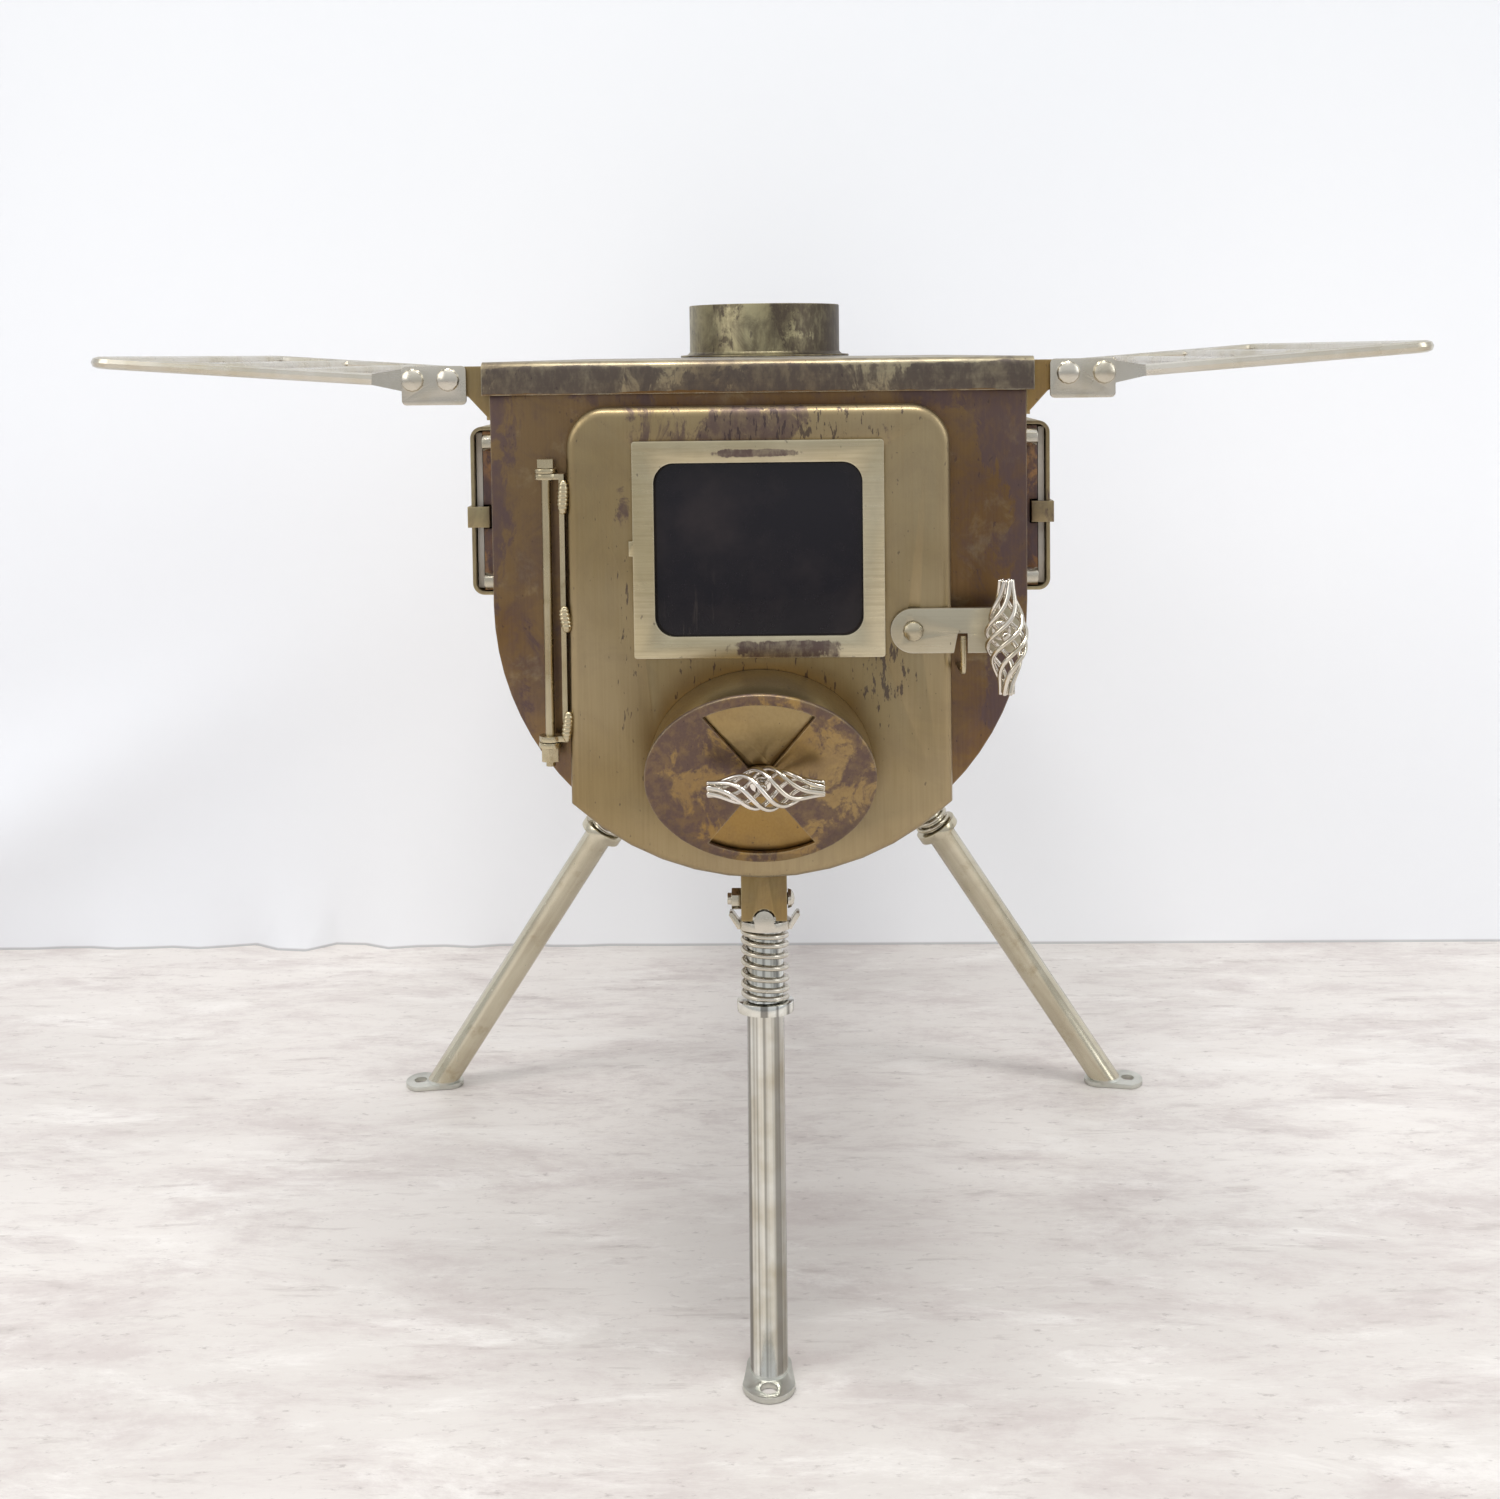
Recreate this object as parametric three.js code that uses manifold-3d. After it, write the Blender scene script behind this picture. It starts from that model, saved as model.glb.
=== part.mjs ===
// A folding wood stove for a tent: a U-shaped firebox on three folding legs, with a hinged
// glass door, a turning air damper, side windows and two folding wire shelves.
// Millimetres, +Z up, the door faces -Y, and the feet stand on Z = 0.
// Until the last step, Y is counted back from the outside of the front panel.

import * as THREE from 'three';
import Module from 'manifold-3d';
import { mergeVertices } from 'three/addons/utils/BufferGeometryUtils.js';

const wasm = await Module();
wasm.setup();

// ---------------------------------------------------------------- driving dimensions

const sheet = 1.5; // sheet steel of the firebox
const gap = 0.3; // kept between pieces that touch
const swing = 0.6; // kept between pieces that move past each other

const body = { radius: 108, axisZ: 327, length: 380, topZ: 425.5 };
const topPlate = { halfWidth: 111, overhang: 2, lip: 13.5, rearLip: 8, edgeRadius: 3.5 };
const flue = { radius: 44.5, behind: 314, height: 30.4, flangeRadius: 50 };

const door = { halfWidth: 76.5, topZ: 407, cornerRadius: 16, bottomRadius: 110, front: -12, back: -0.8, edge: 4 };
const mouth = { halfWidth: 62, topZ: 393, cornerRadius: 10, bottomRadius: 94 };
const pane = { halfWidth: 46.2, lowZ: 311.8, highZ: 388.7, thickness: 3.5 };
const paneFrame = { halfWidth: 49.8, lowZ: 307.1, highZ: 393.5, thickness: 1.9 };
const paneView = { halfWidth: 41.3, lowZ: 315.8, highZ: 384.8, cornerRadius: 8 };
const hinge = { x: -84.8, y: -7, topZ: 382.8, lowZ: 270.4, rodRadius: 1.9 };

const damper = { radius: 44.8, tilt: 30.9, y: -35.5, z: 264, neck: 13, thickness: 1.4 };
const latch = { x: 60.7, z: 317.5, halfHeight: 8.9, endX: 103, front: -15.3, thickness: 2.5 };
const hook = { x: 80, lowZ: 301.2, tipZ: 315.8, front: -18.5, wireRadius: 1.15 };
const cage = { length: 43.5, middle: 7.8, end: 2.3, wireRadius: 0.85, wires: 6, turns: 0.95 };

const sideWindow = { lowZ: 326, highZ: 398, outerX: 123, front: 35, back: 205 };
const sideView = { lowZ: 340, highZ: 384, front: 62, back: 188, cornerRadius: 8 };

const shelf = { pivotX: 124.8, linkLength: 14.4, pivotZ: 418.5, rise: 4.1, reach: 135.4 };
const shelfDepth = { front: 2.3, back: 253.2 };
const shelfRod = 2.4; // radius of the shelf's rods
const crossRods = [17, 56, 95]; // along the shelf from its outer pivot

const leg = { tube: 7.9, wall: 1, flangeRadius: 12.1, flangeTop: 42.1, flangeBottom: 46.6 };
const bracket = { outer: 9.7, inner: 8.3, web: 10.8, rear: 7.4, bottom: 7.2 };
const lock = { top: 8.4, bottom: 12, inner: 8.2, outer: 11.3, earX: 15.2, earTop: 5.2 };
const spring = { radius: 9.85, wire: 0.95, turns: 6, steps: 8, sides: 5, straight: 2 };
const footPlate = { thickness: 2.5, hole: 3.7 };
const frontPlate = { outer: 11, inner: 9.5, outerAt: 7.6, innerAt: 4.5, holeAt: 12 };
const rearPlate = { outer: 10.2, inner: 7.5, outerAt: 9.9, innerAt: 5.9, holeAt: 11.7 };
const legs = [
  { name: 'front', pivot: [0, 32, 194.6], foot: [0, 8, 0], folds: 1, plate: frontPlate, outward: [0, -1] },
  { name: 'left', pivot: [-72.2, 264, 191.8], foot: [-195.7, 280, 0], folds: -1, plate: rearPlate, outward: [-1, 0] },
  { name: 'right', pivot: [72.2, 264, 191.8], foot: [195.7, 280, 0], folds: -1, plate: rearPlate, outward: [1, 0] },
];

// ---------------------------------------------------------------- materials

function metal(colour, roughness) {
  return new THREE.MeshStandardMaterial({ color: colour, roughness, metalness: 1 });
}

const heatTint = () => metal(0x73552f, 0.5);
const khaki = () => metal(0x968460, 0.42);
const bright = () => metal(0xc9c4b8, 0.2);
const sooty = () => metal(0x2c2824, 0.8);

function glass() {
  const look = { color: 0x15130f, roughness: 0.08, metalness: 0, transparent: true, opacity: 0.6 };
  return new THREE.MeshStandardMaterial(look);
}

// ---------------------------------------------------------------- solids and cuts

function signedVolume(geometry) {
  const spots = geometry.attributes.position;
  const corners = geometry.index.array;
  const a = new THREE.Vector3();
  const b = new THREE.Vector3();
  const c = new THREE.Vector3();
  let volume = 0;
  for (let i = 0; i < corners.length; i += 3) {
    a.fromBufferAttribute(spots, corners[i]);
    b.fromBufferAttribute(spots, corners[i + 1]);
    c.fromBufferAttribute(spots, corners[i + 2]);
    volume += a.dot(b.cross(c)) / 6;
  }
  return volume;
}

function facingOut(geometry) {
  if (signedVolume(geometry) >= 0) return geometry;
  const corners = geometry.index.array;
  for (let i = 0; i < corners.length; i += 3) {
    [corners[i + 1], corners[i + 2]] = [corners[i + 2], corners[i + 1]];
  }
  return geometry;
}

function closed(geometry) {
  const bare = geometry.clone();
  bare.deleteAttribute('normal');
  bare.deleteAttribute('uv');
  return facingOut(mergeVertices(bare, 1e-4));
}

function solid(geometry) {
  const bare = closed(geometry);
  const vertProperties = new Float32Array(bare.attributes.position.array);
  const triVerts = new Uint32Array(bare.index.array);
  return new wasm.Manifold(new wasm.Mesh({ numProp: 3, vertProperties, triVerts }));
}

function geometryOf(shape) {
  const mesh = shape.getMesh();
  const geometry = new THREE.BufferGeometry();
  const spots = new THREE.BufferAttribute(new Float32Array(mesh.vertProperties), 3);
  geometry.setAttribute('position', spots);
  geometry.setIndex(new THREE.BufferAttribute(new Uint32Array(mesh.triVerts), 1));
  return geometry;
}

function joined(pieces) {
  return geometryOf(pieces.map(solid).reduce((whole, piece) => whole.add(piece)));
}

function cut(geometry, tools) {
  return geometryOf(tools.reduce((whole, tool) => whole.subtract(solid(tool)), solid(geometry)));
}

function common(geometry, other) {
  return geometryOf(solid(geometry).intersect(solid(other)));
}

function mirrored(geometry, axis, at = 0) {
  const flip = new THREE.Matrix4();
  if (axis === 'x') flip.makeScale(-1, 1, 1).setPosition(2 * at, 0, 0);
  if (axis === 'y') flip.makeScale(1, -1, 1).setPosition(0, 2 * at, 0);
  return facingOut(closed(geometry).applyMatrix4(flip));
}

// ---------------------------------------------------------------- forms

function block(x0, x1, y0, y1, z0, z1) {
  const geometry = new THREE.BoxGeometry(x1 - x0, y1 - y0, z1 - z0);
  return geometry.translate((x0 + x1) / 2, (y0 + y1) / 2, (z0 + z1) / 2);
}

// An outline drawn in X and Z, as thick as from Y = y0 to Y = y1.
function facingFront(outline, y0, y1, curveSegments = 6) {
  const geometry = new THREE.ExtrudeGeometry(outline, { depth: y1 - y0, bevelEnabled: false, curveSegments });
  return geometry.rotateX(Math.PI / 2).translate(0, y1, 0);
}

// An outline drawn in Y and Z, as thick as from X = x0 to X = x1.
function facingSide(outline, x0, x1, curveSegments = 3) {
  const geometry = new THREE.ExtrudeGeometry(outline, { depth: x1 - x0, bevelEnabled: false, curveSegments });
  const turn = new THREE.Matrix4().makeBasis(
    new THREE.Vector3(0, 1, 0),
    new THREE.Vector3(0, 0, 1),
    new THREE.Vector3(1, 0, 0),
  );
  return geometry.applyMatrix4(turn).translate(x0, 0, 0);
}

// An outline drawn in X and Y, as thick as from Z = z0 to Z = z1.
function facingUp(outline, z0, z1, curveSegments = 6) {
  const geometry = new THREE.ExtrudeGeometry(outline, { depth: z1 - z0, bevelEnabled: false, curveSegments });
  return geometry.translate(0, 0, z0);
}

function roundedBox(u0, u1, v0, v1, radius) {
  const outline = new THREE.Shape();
  outline.moveTo(u0 + radius, v0);
  outline.lineTo(u1 - radius, v0);
  outline.absarc(u1 - radius, v0 + radius, radius, -Math.PI / 2, 0);
  outline.lineTo(u1, v1 - radius);
  outline.absarc(u1 - radius, v1 - radius, radius, 0, Math.PI / 2);
  outline.lineTo(u0 + radius, v1);
  outline.absarc(u0 + radius, v1 - radius, radius, Math.PI / 2, Math.PI);
  outline.lineTo(u0, v0 + radius);
  outline.absarc(u0 + radius, v0 + radius, radius, Math.PI, 1.5 * Math.PI);
  return outline;
}

function polygon(points) {
  return new THREE.Shape(points.map(([u, v]) => new THREE.Vector2(u, v)));
}

function round(u, v, radius) {
  return new THREE.Shape().absarc(u, v, radius, 0, 2 * Math.PI);
}

function oval(u, v, halfWidth, halfHeight) {
  return new THREE.Shape().absellipse(u, v, halfWidth, halfHeight, 0, 2 * Math.PI);
}

// A straight round bar between two points.
function bar(from, to, radius, sides = 16) {
  const start = new THREE.Vector3(...from);
  const end = new THREE.Vector3(...to);
  const along = end.clone().sub(start);
  const geometry = new THREE.CylinderGeometry(radius, radius, along.length(), sides);
  const turn = new THREE.Quaternion().setFromUnitVectors(new THREE.Vector3(0, 1, 0), along.normalize());
  geometry.applyQuaternion(turn);
  const middle = start.add(end).multiplyScalar(0.5);
  return geometry.translate(middle.x, middle.y, middle.z);
}

// A revolved form about Z, from [radius, z] corners that close on themselves or on the axis.
function revolved(corners, segments = 32) {
  const profile = corners.map(([radius, z]) => new THREE.Vector2(radius, z));
  return new THREE.LatheGeometry(profile, segments).rotateX(Math.PI / 2);
}

// A low dome on the plane Z = 0, as a rivet's head is.
function dome(radius, height, segments = 12) {
  const corners = [[0, 0], [radius, 0]];
  const steps = 3;
  for (let i = 1; i < steps; i += 1) {
    const turn = (i / steps) * (Math.PI / 2);
    corners.push([radius * Math.cos(turn), height * Math.sin(turn)]);
  }
  corners.push([0, height]);
  return revolved(corners, segments);
}

// One unbroken round tube along a line of points, closed by flat ends.
function sweep(points, radius, sides) {
  const spots = [];
  const corners = [];
  const normal = new THREE.Vector3();
  const tangents = points.map((point, i) => {
    const before = points[Math.max(i - 1, 0)];
    const after = points[Math.min(i + 1, points.length - 1)];
    return after.clone().sub(before).normalize();
  });
  const across = Math.abs(tangents[0].z) < 0.9 ? new THREE.Vector3(0, 0, 1) : new THREE.Vector3(1, 0, 0);
  normal.crossVectors(tangents[0], across).normalize();
  points.forEach((point, i) => {
    const tangent = tangents[i];
    normal.addScaledVector(tangent, -normal.dot(tangent)).normalize();
    const binormal = tangent.clone().cross(normal);
    for (let k = 0; k < sides; k += 1) {
      const turn = (2 * Math.PI * k) / sides;
      const spot = point.clone();
      spot.addScaledVector(normal, radius * Math.cos(turn));
      spot.addScaledVector(binormal, radius * Math.sin(turn));
      spots.push(spot.x, spot.y, spot.z);
    }
  });
  for (let i = 0; i + 1 < points.length; i += 1) {
    for (let k = 0; k < sides; k += 1) {
      const a = i * sides + k;
      const b = i * sides + ((k + 1) % sides);
      corners.push(a, b, b + sides, a, b + sides, a + sides);
    }
  }
  const last = (points.length - 1) * sides;
  for (let k = 1; k + 1 < sides; k += 1) {
    corners.push(0, k + 1, k, last, last + k, last + k + 1);
  }
  const geometry = new THREE.BufferGeometry();
  geometry.setAttribute('position', new THREE.Float32BufferAttribute(spots, 3));
  geometry.setIndex(corners);
  return geometry;
}

// ---------------------------------------------------------------- scene graph

const stove = new THREE.Group();

function place(parent, name, geometry, material) {
  const mesh = new THREE.Mesh(closed(geometry), material);
  mesh.name = name;
  parent.add(mesh);
  return mesh;
}

// A pair: the right-hand piece as given, and its mirror image on the left.
function placePair(name, geometry, material) {
  place(stove, `${name}_right`, geometry, material());
  place(stove, `${name}_left`, mirrored(geometry, 'x'), material());
}

// ---------------------------------------------------------------- firebox

const wallTop = body.topZ - sheet - gap;

function fireboxOutline(topZ) {
  const outline = new THREE.Shape();
  outline.moveTo(body.radius, topZ);
  outline.lineTo(-body.radius, topZ);
  outline.lineTo(-body.radius, body.axisZ);
  outline.absarc(0, body.axisZ, body.radius, Math.PI, 2 * Math.PI);
  return outline;
}

function bodyShell() {
  const inner = body.radius - sheet;
  const outline = new THREE.Shape();
  outline.moveTo(-body.radius, wallTop);
  outline.lineTo(-body.radius, body.axisZ);
  outline.absarc(0, body.axisZ, body.radius, Math.PI, 2 * Math.PI);
  outline.lineTo(body.radius, wallTop);
  outline.lineTo(inner, wallTop);
  outline.lineTo(inner, body.axisZ);
  outline.absarc(0, body.axisZ, inner, 2 * Math.PI, Math.PI, true);
  outline.lineTo(-inner, wallTop);
  const shell = facingFront(outline, sheet + gap, body.length - sheet - gap, 18);
  const ledge = block(inner - 3, inner + 0.5, 252, 376, 392, 393.5);
  const view = roundedBox(sideView.front, sideView.back, sideView.lowZ, sideView.highZ, sideView.cornerRadius);
  const window = facingSide(view, inner - 5, body.radius + 5);
  const walls = joined([shell, ledge, mirrored(ledge, 'x')]);
  return cut(walls, [window, mirrored(window, 'x')]);
}

// The outline that the door, its pocket and the fuel mouth share: straight sides, rounded
// upper corners and a bottom arc about the firebox's axis.
function archedOutline(halfWidth, topZ, cornerRadius, bottomRadius) {
  const sideAngle = Math.acos(halfWidth / bottomRadius);
  const outline = new THREE.Shape();
  outline.absarc(0, body.axisZ, bottomRadius, Math.PI + sideAngle, 2 * Math.PI - sideAngle);
  outline.lineTo(halfWidth, topZ - cornerRadius);
  outline.absarc(halfWidth - cornerRadius, topZ - cornerRadius, cornerRadius, 0, Math.PI / 2);
  outline.lineTo(-halfWidth + cornerRadius, topZ);
  outline.absarc(-halfWidth + cornerRadius, topZ - cornerRadius, cornerRadius, Math.PI / 2, Math.PI);
  return outline;
}

function frontPanel() {
  const plate = facingFront(fireboxOutline(wallTop - 0.8), 0, sheet, 18);
  const opening = archedOutline(mouth.halfWidth, mouth.topZ, mouth.cornerRadius, mouth.bottomRadius);
  return cut(plate, [facingFront(opening, -5, sheet + 5)]);
}

// A plate with a rounded front edge, a deep front lip, a rear lip and two side lips that
// leave room for the shelf brackets.
function topPlateForm() {
  const front = -topPlate.overhang;
  const back = body.length + topPlate.overhang;
  const top = body.topZ;
  const bend = topPlate.edgeRadius;
  const outline = new THREE.Shape();
  outline.moveTo(front, top - topPlate.lip);
  outline.lineTo(front + sheet, top - topPlate.lip);
  outline.lineTo(front + sheet, top - bend);
  outline.absarc(front + bend, top - bend, bend - sheet, Math.PI, Math.PI / 2, true);
  outline.lineTo(back - sheet, top - sheet);
  outline.lineTo(back - sheet, top - topPlate.rearLip);
  outline.lineTo(back, top - topPlate.rearLip);
  outline.lineTo(back, top);
  outline.lineTo(front + bend, top);
  outline.absarc(front + bend, top - bend, bend, Math.PI / 2, Math.PI);
  const pieces = [facingSide(outline, -topPlate.halfWidth, topPlate.halfWidth)];
  const lipLow = top - 6.5;
  for (const [y0, y1] of [[24, 232], [276, body.length]]) {
    const lip = block(topPlate.halfWidth - sheet, topPlate.halfWidth, y0, y1, lipLow, top - 0.5);
    pieces.push(lip, mirrored(lip, 'x'));
  }
  const bore = bar([0, flue.behind, top - 10], [0, flue.behind, top + 10], flue.radius - sheet, 40);
  return cut(joined(pieces), [bore]);
}

function flueCollar() {
  const inner = flue.radius - sheet;
  const ring = revolved([
    [inner, 0],
    [flue.flangeRadius, 0],
    [flue.flangeRadius, 1.2],
    [flue.radius + 1.5, 1.5],
    [flue.radius, 3],
    [flue.radius, flue.height],
    [inner, flue.height],
    [inner, 0],
  ], 36);
  return ring.translate(0, flue.behind, body.topZ + gap);
}

// The plate under the flue that turns the flames forward; it lies on the two ledges.
function bafflePlate() {
  const half = body.radius - sheet - 0.6;
  const plate = facingUp(roundedBox(-half, half, 256, 374, 6), 393.8, 395.3);
  const turnedUp = block(-half + 8, half - 8, 256, 257.5, 394.5, 403);
  return joined([plate, turnedUp]);
}

function fireGrate() {
  const half = 70;
  const top = 252;
  const pieces = [block(-half, half, 28, 352, top - 2, top)];
  for (const x of [-half, half - sheet]) {
    pieces.push(block(x, x + sheet, 28, 352, 247.4, top - 0.5));
  }
  const slots = [];
  for (const y of [42, 198]) {
    for (let x = -52; x <= 52; x += 26) {
      slots.push(facingUp(roundedBox(x - 5, x + 5, y, y + 140, 4.9), top - 5, top + 5, 2));
    }
  }
  return cut(joined(pieces), slots);
}

place(stove, 'body_shell', bodyShell(), heatTint());
place(stove, 'front_panel', frontPanel(), heatTint());
const backOutline = fireboxOutline(wallTop);
place(stove, 'back_panel', facingFront(backOutline, body.length - sheet, body.length, 18), heatTint());
place(stove, 'top_plate', topPlateForm(), heatTint());
place(stove, 'flue_collar', flueCollar(), heatTint());
place(stove, 'baffle_plate', bafflePlate(), sooty());
place(stove, 'fire_grate', fireGrate(), sooty());

// ---------------------------------------------------------------- side windows

// A plate on the wall round the opening, with a raised ring for the pane and two bolt heads.
function sideSeat() {
  const x = body.radius + gap;
  const plate = facingSide(roundedBox(42, 200, 329, 394.7, 3), x, x + sheet);
  const ring = facingSide(roundedBox(53, 198, 331, 392.7, 4), x + 1, x + 7.9);
  const view = roundedBox(sideView.front, sideView.back, sideView.lowZ, sideView.highZ, sideView.cornerRadius);
  const opening = facingSide(view, x - 5, x + 12);
  const heads = [331.6, 391.6].map((z) => bar([x + 1, 47.5, z], [x + 6.9, 47.5, z], 3.3, 12));
  return joined([cut(joined([plate, ring]), [opening]), ...heads]);
}

// A channel with rounded edges, open to the front where the pane slides in.
function sideFrame() {
  const wall = body.radius + gap;
  const { lowZ, highZ, outerX, front, back } = sideWindow;
  const bend = 5;
  const outline = new THREE.Shape();
  outline.moveTo(wall, lowZ);
  outline.lineTo(outerX - bend, lowZ);
  outline.absarc(outerX - bend, lowZ + bend, bend, -Math.PI / 2, 0);
  outline.lineTo(outerX, highZ - bend);
  outline.absarc(outerX - bend, highZ - bend, bend, 0, Math.PI / 2);
  outline.lineTo(wall, highZ);
  outline.lineTo(wall, highZ - sheet);
  outline.lineTo(outerX - bend, highZ - sheet);
  outline.absarc(outerX - bend, highZ - bend, bend - sheet, Math.PI / 2, 0, true);
  outline.lineTo(outerX - sheet, lowZ + bend);
  outline.absarc(outerX - bend, lowZ + bend, bend - sheet, 0, -Math.PI / 2, true);
  outline.lineTo(wall, lowZ + sheet);
  const channel = facingFront(outline, front, back, 4);
  const end = block(wall, outerX - 1, back - sheet, back, lowZ + 0.7, highZ - 0.7);
  const view = roundedBox(sideView.front, sideView.back, sideView.lowZ, sideView.highZ, sideView.cornerRadius);
  return cut(joined([channel, end]), [facingSide(view, outerX - 5, outerX + 5)]);
}

// A bent strip that hooks over the frame's front edge and keeps the pane in.
function sideClip() {
  const out = sideWindow.outerX;
  const front = sideWindow.front;
  const outline = polygon([
    [out - 8, front - 1.6],
    [out + 1.5, front - 1.6],
    [out + 1.5, front + 13],
    [out + gap, front + 13],
    [out + gap, front - gap],
    [out - 6.8, front - gap],
    [out - 6.8, front + 13],
    [out - 8, front + 13],
  ]);
  return facingUp(outline, 355, 364);
}

const sidePane = facingSide(roundedBox(38, 202.5, 328.6, 395.4, 2), body.radius + 8.5, body.radius + 11.5);

placePair('side_window_seat', sideSeat(), heatTint);
placePair('side_window_frame', sideFrame(), khaki);
placePair('side_window_glass', sidePane, glass);
placePair('side_window_clip', sideClip(), khaki);

// ---------------------------------------------------------------- folding shelves

const outerPivotX = shelf.pivotX + shelf.linkLength;
const linkBack = shelfDepth.front - gap;
const linkFront = linkBack - sheet;
const shelfMiddle = (shelfDepth.front + shelfDepth.back) / 2;

// The front right bracket: a plate that carries the inner pivot, and a flange on the wall.
function shelfBracket() {
  const wall = body.radius + gap;
  const outline = new THREE.Shape();
  outline.moveTo(wall, 402);
  outline.lineTo(117, 411.5);
  outline.lineTo(shelf.pivotX - 2, 413.4);
  outline.absarc(shelf.pivotX, shelf.pivotZ, 5.4, -Math.PI / 2, Math.PI / 2);
  outline.lineTo(wall, shelf.pivotZ + 5.4);
  outline.holes.push(new THREE.Path().absarc(shelf.pivotX, shelf.pivotZ, 2.3, 0, 2 * Math.PI, true));
  const plate = facingFront(outline, shelfDepth.front, shelfDepth.front + sheet, 8);
  const flange = block(wall, wall + sheet, shelfDepth.front + 0.5, 18, 402, 417);
  return joined([plate, flange]);
}

// A short link with a bottom flange and the two domed rivets that it turns on.
function shelfLink() {
  const outline = roundedBox(shelf.pivotX - 7.2, outerPivotX + 4.5, shelf.pivotZ - 10.1, shelf.pivotZ + 5.7, 2);
  const plate = facingFront(outline, linkFront, linkBack, 3);
  const low = shelf.pivotZ - 10.1;
  const flange = block(shelf.pivotX - 5.2, outerPivotX + 2.5, linkBack - 0.5, linkBack + 5.5, low, low + sheet);
  const pieces = [plate, flange];
  for (const x of [shelf.pivotX, outerPivotX]) {
    pieces.push(dome(4.8, 2.9).rotateX(Math.PI / 2).translate(x, linkFront + 0.2, shelf.pivotZ));
    pieces.push(bar([x, linkBack - 0.5, shelf.pivotZ], [x, linkBack + 2.9, shelf.pivotZ], 2, 8));
    pieces.push(bar([x, linkBack + 2.2, shelf.pivotZ], [x, linkBack + 3.2, shelf.pivotZ], 3.6, 10));
  }
  return joined(pieces);
}

// The rack lies in its own frame: X from the outer pivot outward, Z square to the rack.
function shelfRack() {
  const drop = -0.6;
  const corner = 8;
  const near = shelfDepth.front + shelfRod;
  const far = shelfDepth.back - shelfRod;
  const outer = shelf.reach - shelfRod;
  const rim = [new THREE.Vector3(11, near, drop)];
  for (const [centreY, start] of [[near + corner, -90], [far - corner, 0]]) {
    for (let step = 0; step <= 4; step += 1) {
      const turn = THREE.MathUtils.degToRad(start + step * 22.5);
      const x = outer - corner + corner * Math.cos(turn);
      rim.push(new THREE.Vector3(x, centreY + corner * Math.sin(turn), drop));
    }
  }
  rim.push(new THREE.Vector3(11, far, drop));
  const pieces = [sweep(rim, shelfRod, 8)];
  for (const x of crossRods) {
    pieces.push(bar([x, near, drop], [x, far, drop], shelfRod - 0.3, 8));
  }
  const strip = new THREE.Shape();
  strip.absarc(0, 0, 5, Math.PI / 2, 1.5 * Math.PI);
  strip.lineTo(2, -5);
  strip.lineTo(17, drop - 2.2);
  strip.lineTo(17, drop + 2.2);
  strip.lineTo(2, 5);
  strip.holes.push(new THREE.Path().absarc(0, 0, 2.3, 0, 2 * Math.PI, true));
  const frontStrip = facingFront(strip, shelfDepth.front, shelfDepth.front + sheet, 6);
  pieces.push(frontStrip, mirrored(frontStrip, 'y', shelfMiddle));
  return joined(pieces);
}

function addShelf(side, name) {
  const toSide = (geometry) => (side > 0 ? geometry : mirrored(geometry, 'x'));
  for (const [end, geometry] of [['bracket', shelfBracket()], ['link', shelfLink()]]) {
    place(stove, `shelf_${end}_front_${name}`, toSide(geometry), bright());
    place(stove, `shelf_${end}_rear_${name}`, toSide(mirrored(geometry, 'y', shelfMiddle)), bright());
  }
  const hanger = new THREE.Group();
  hanger.position.set(side * outerPivotX, 0, shelf.pivotZ);
  hanger.rotation.y = -side * THREE.MathUtils.degToRad(shelf.rise);
  place(hanger, `shelf_rack_${name}`, toSide(shelfRack()), bright());
  stove.add(hanger);
}

addShelf(1, 'right');
addShelf(-1, 'left');

// ---------------------------------------------------------------- twisted wire handles

// Wires that twist about X and swell in the middle, held by a plug at each end.
function wireCage() {
  const steps = 14;
  const pieces = [];
  for (let wire = 0; wire < cage.wires; wire += 1) {
    const points = [];
    for (let step = 0; step <= steps; step += 1) {
      const t = step / steps;
      const swell = Math.sin(Math.PI * t) ** 1.35;
      const radius = cage.end + (cage.middle - cage.end) * swell;
      const turn = 2 * Math.PI * (wire / cage.wires - cage.turns * t);
      const x = cage.length * (t - 0.5);
      points.push(new THREE.Vector3(x, radius * Math.cos(turn), radius * Math.sin(turn)));
    }
    pieces.push(sweep(points, cage.wireRadius, 5));
  }
  const half = cage.length / 2;
  pieces.push(bar([-half, 0, 0], [-half + 2.6, 0, 0], cage.end + 0.3, 12));
  pieces.push(bar([half - 2.6, 0, 0], [half, 0, 0], cage.end + 0.3, 12));
  return joined(pieces);
}

// ---------------------------------------------------------------- door

function doorPan() {
  const { halfWidth, topZ, cornerRadius, bottomRadius, front, back, edge } = door;
  const inset = archedOutline(halfWidth - edge, topZ - edge, cornerRadius - edge, bottomRadius - edge);
  const rounded = new THREE.ExtrudeGeometry(inset, {
    depth: 16,
    bevelThickness: edge,
    bevelSize: edge,
    bevelSegments: 3,
    curveSegments: 6,
  });
  const form = rounded.rotateX(Math.PI / 2).translate(0, front + 16 + edge, 0);
  const behind = block(-200, 200, back, 100, 0, 600);
  const skin = 1.8;
  const pocket = archedOutline(halfWidth - 2, topZ - 2, cornerRadius - 2, bottomRadius - 2);
  const view = roundedBox(-pane.halfWidth - gap, pane.halfWidth + gap, pane.lowZ - gap, pane.highZ + gap, 3);
  const airHole = oval(0, damper.z, damper.radius - 3.5, snoutHalfHeight() - 3.2);
  return cut(form, [
    behind,
    facingFront(pocket, front + skin, 50),
    facingFront(view, front - 5, front + 5),
    facingFront(airHole, front - 5, front + 5),
    bar([latch.x, front - 5, latch.z], [latch.x, front + 5, latch.z], 2.8, 12),
  ]);
}

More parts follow.
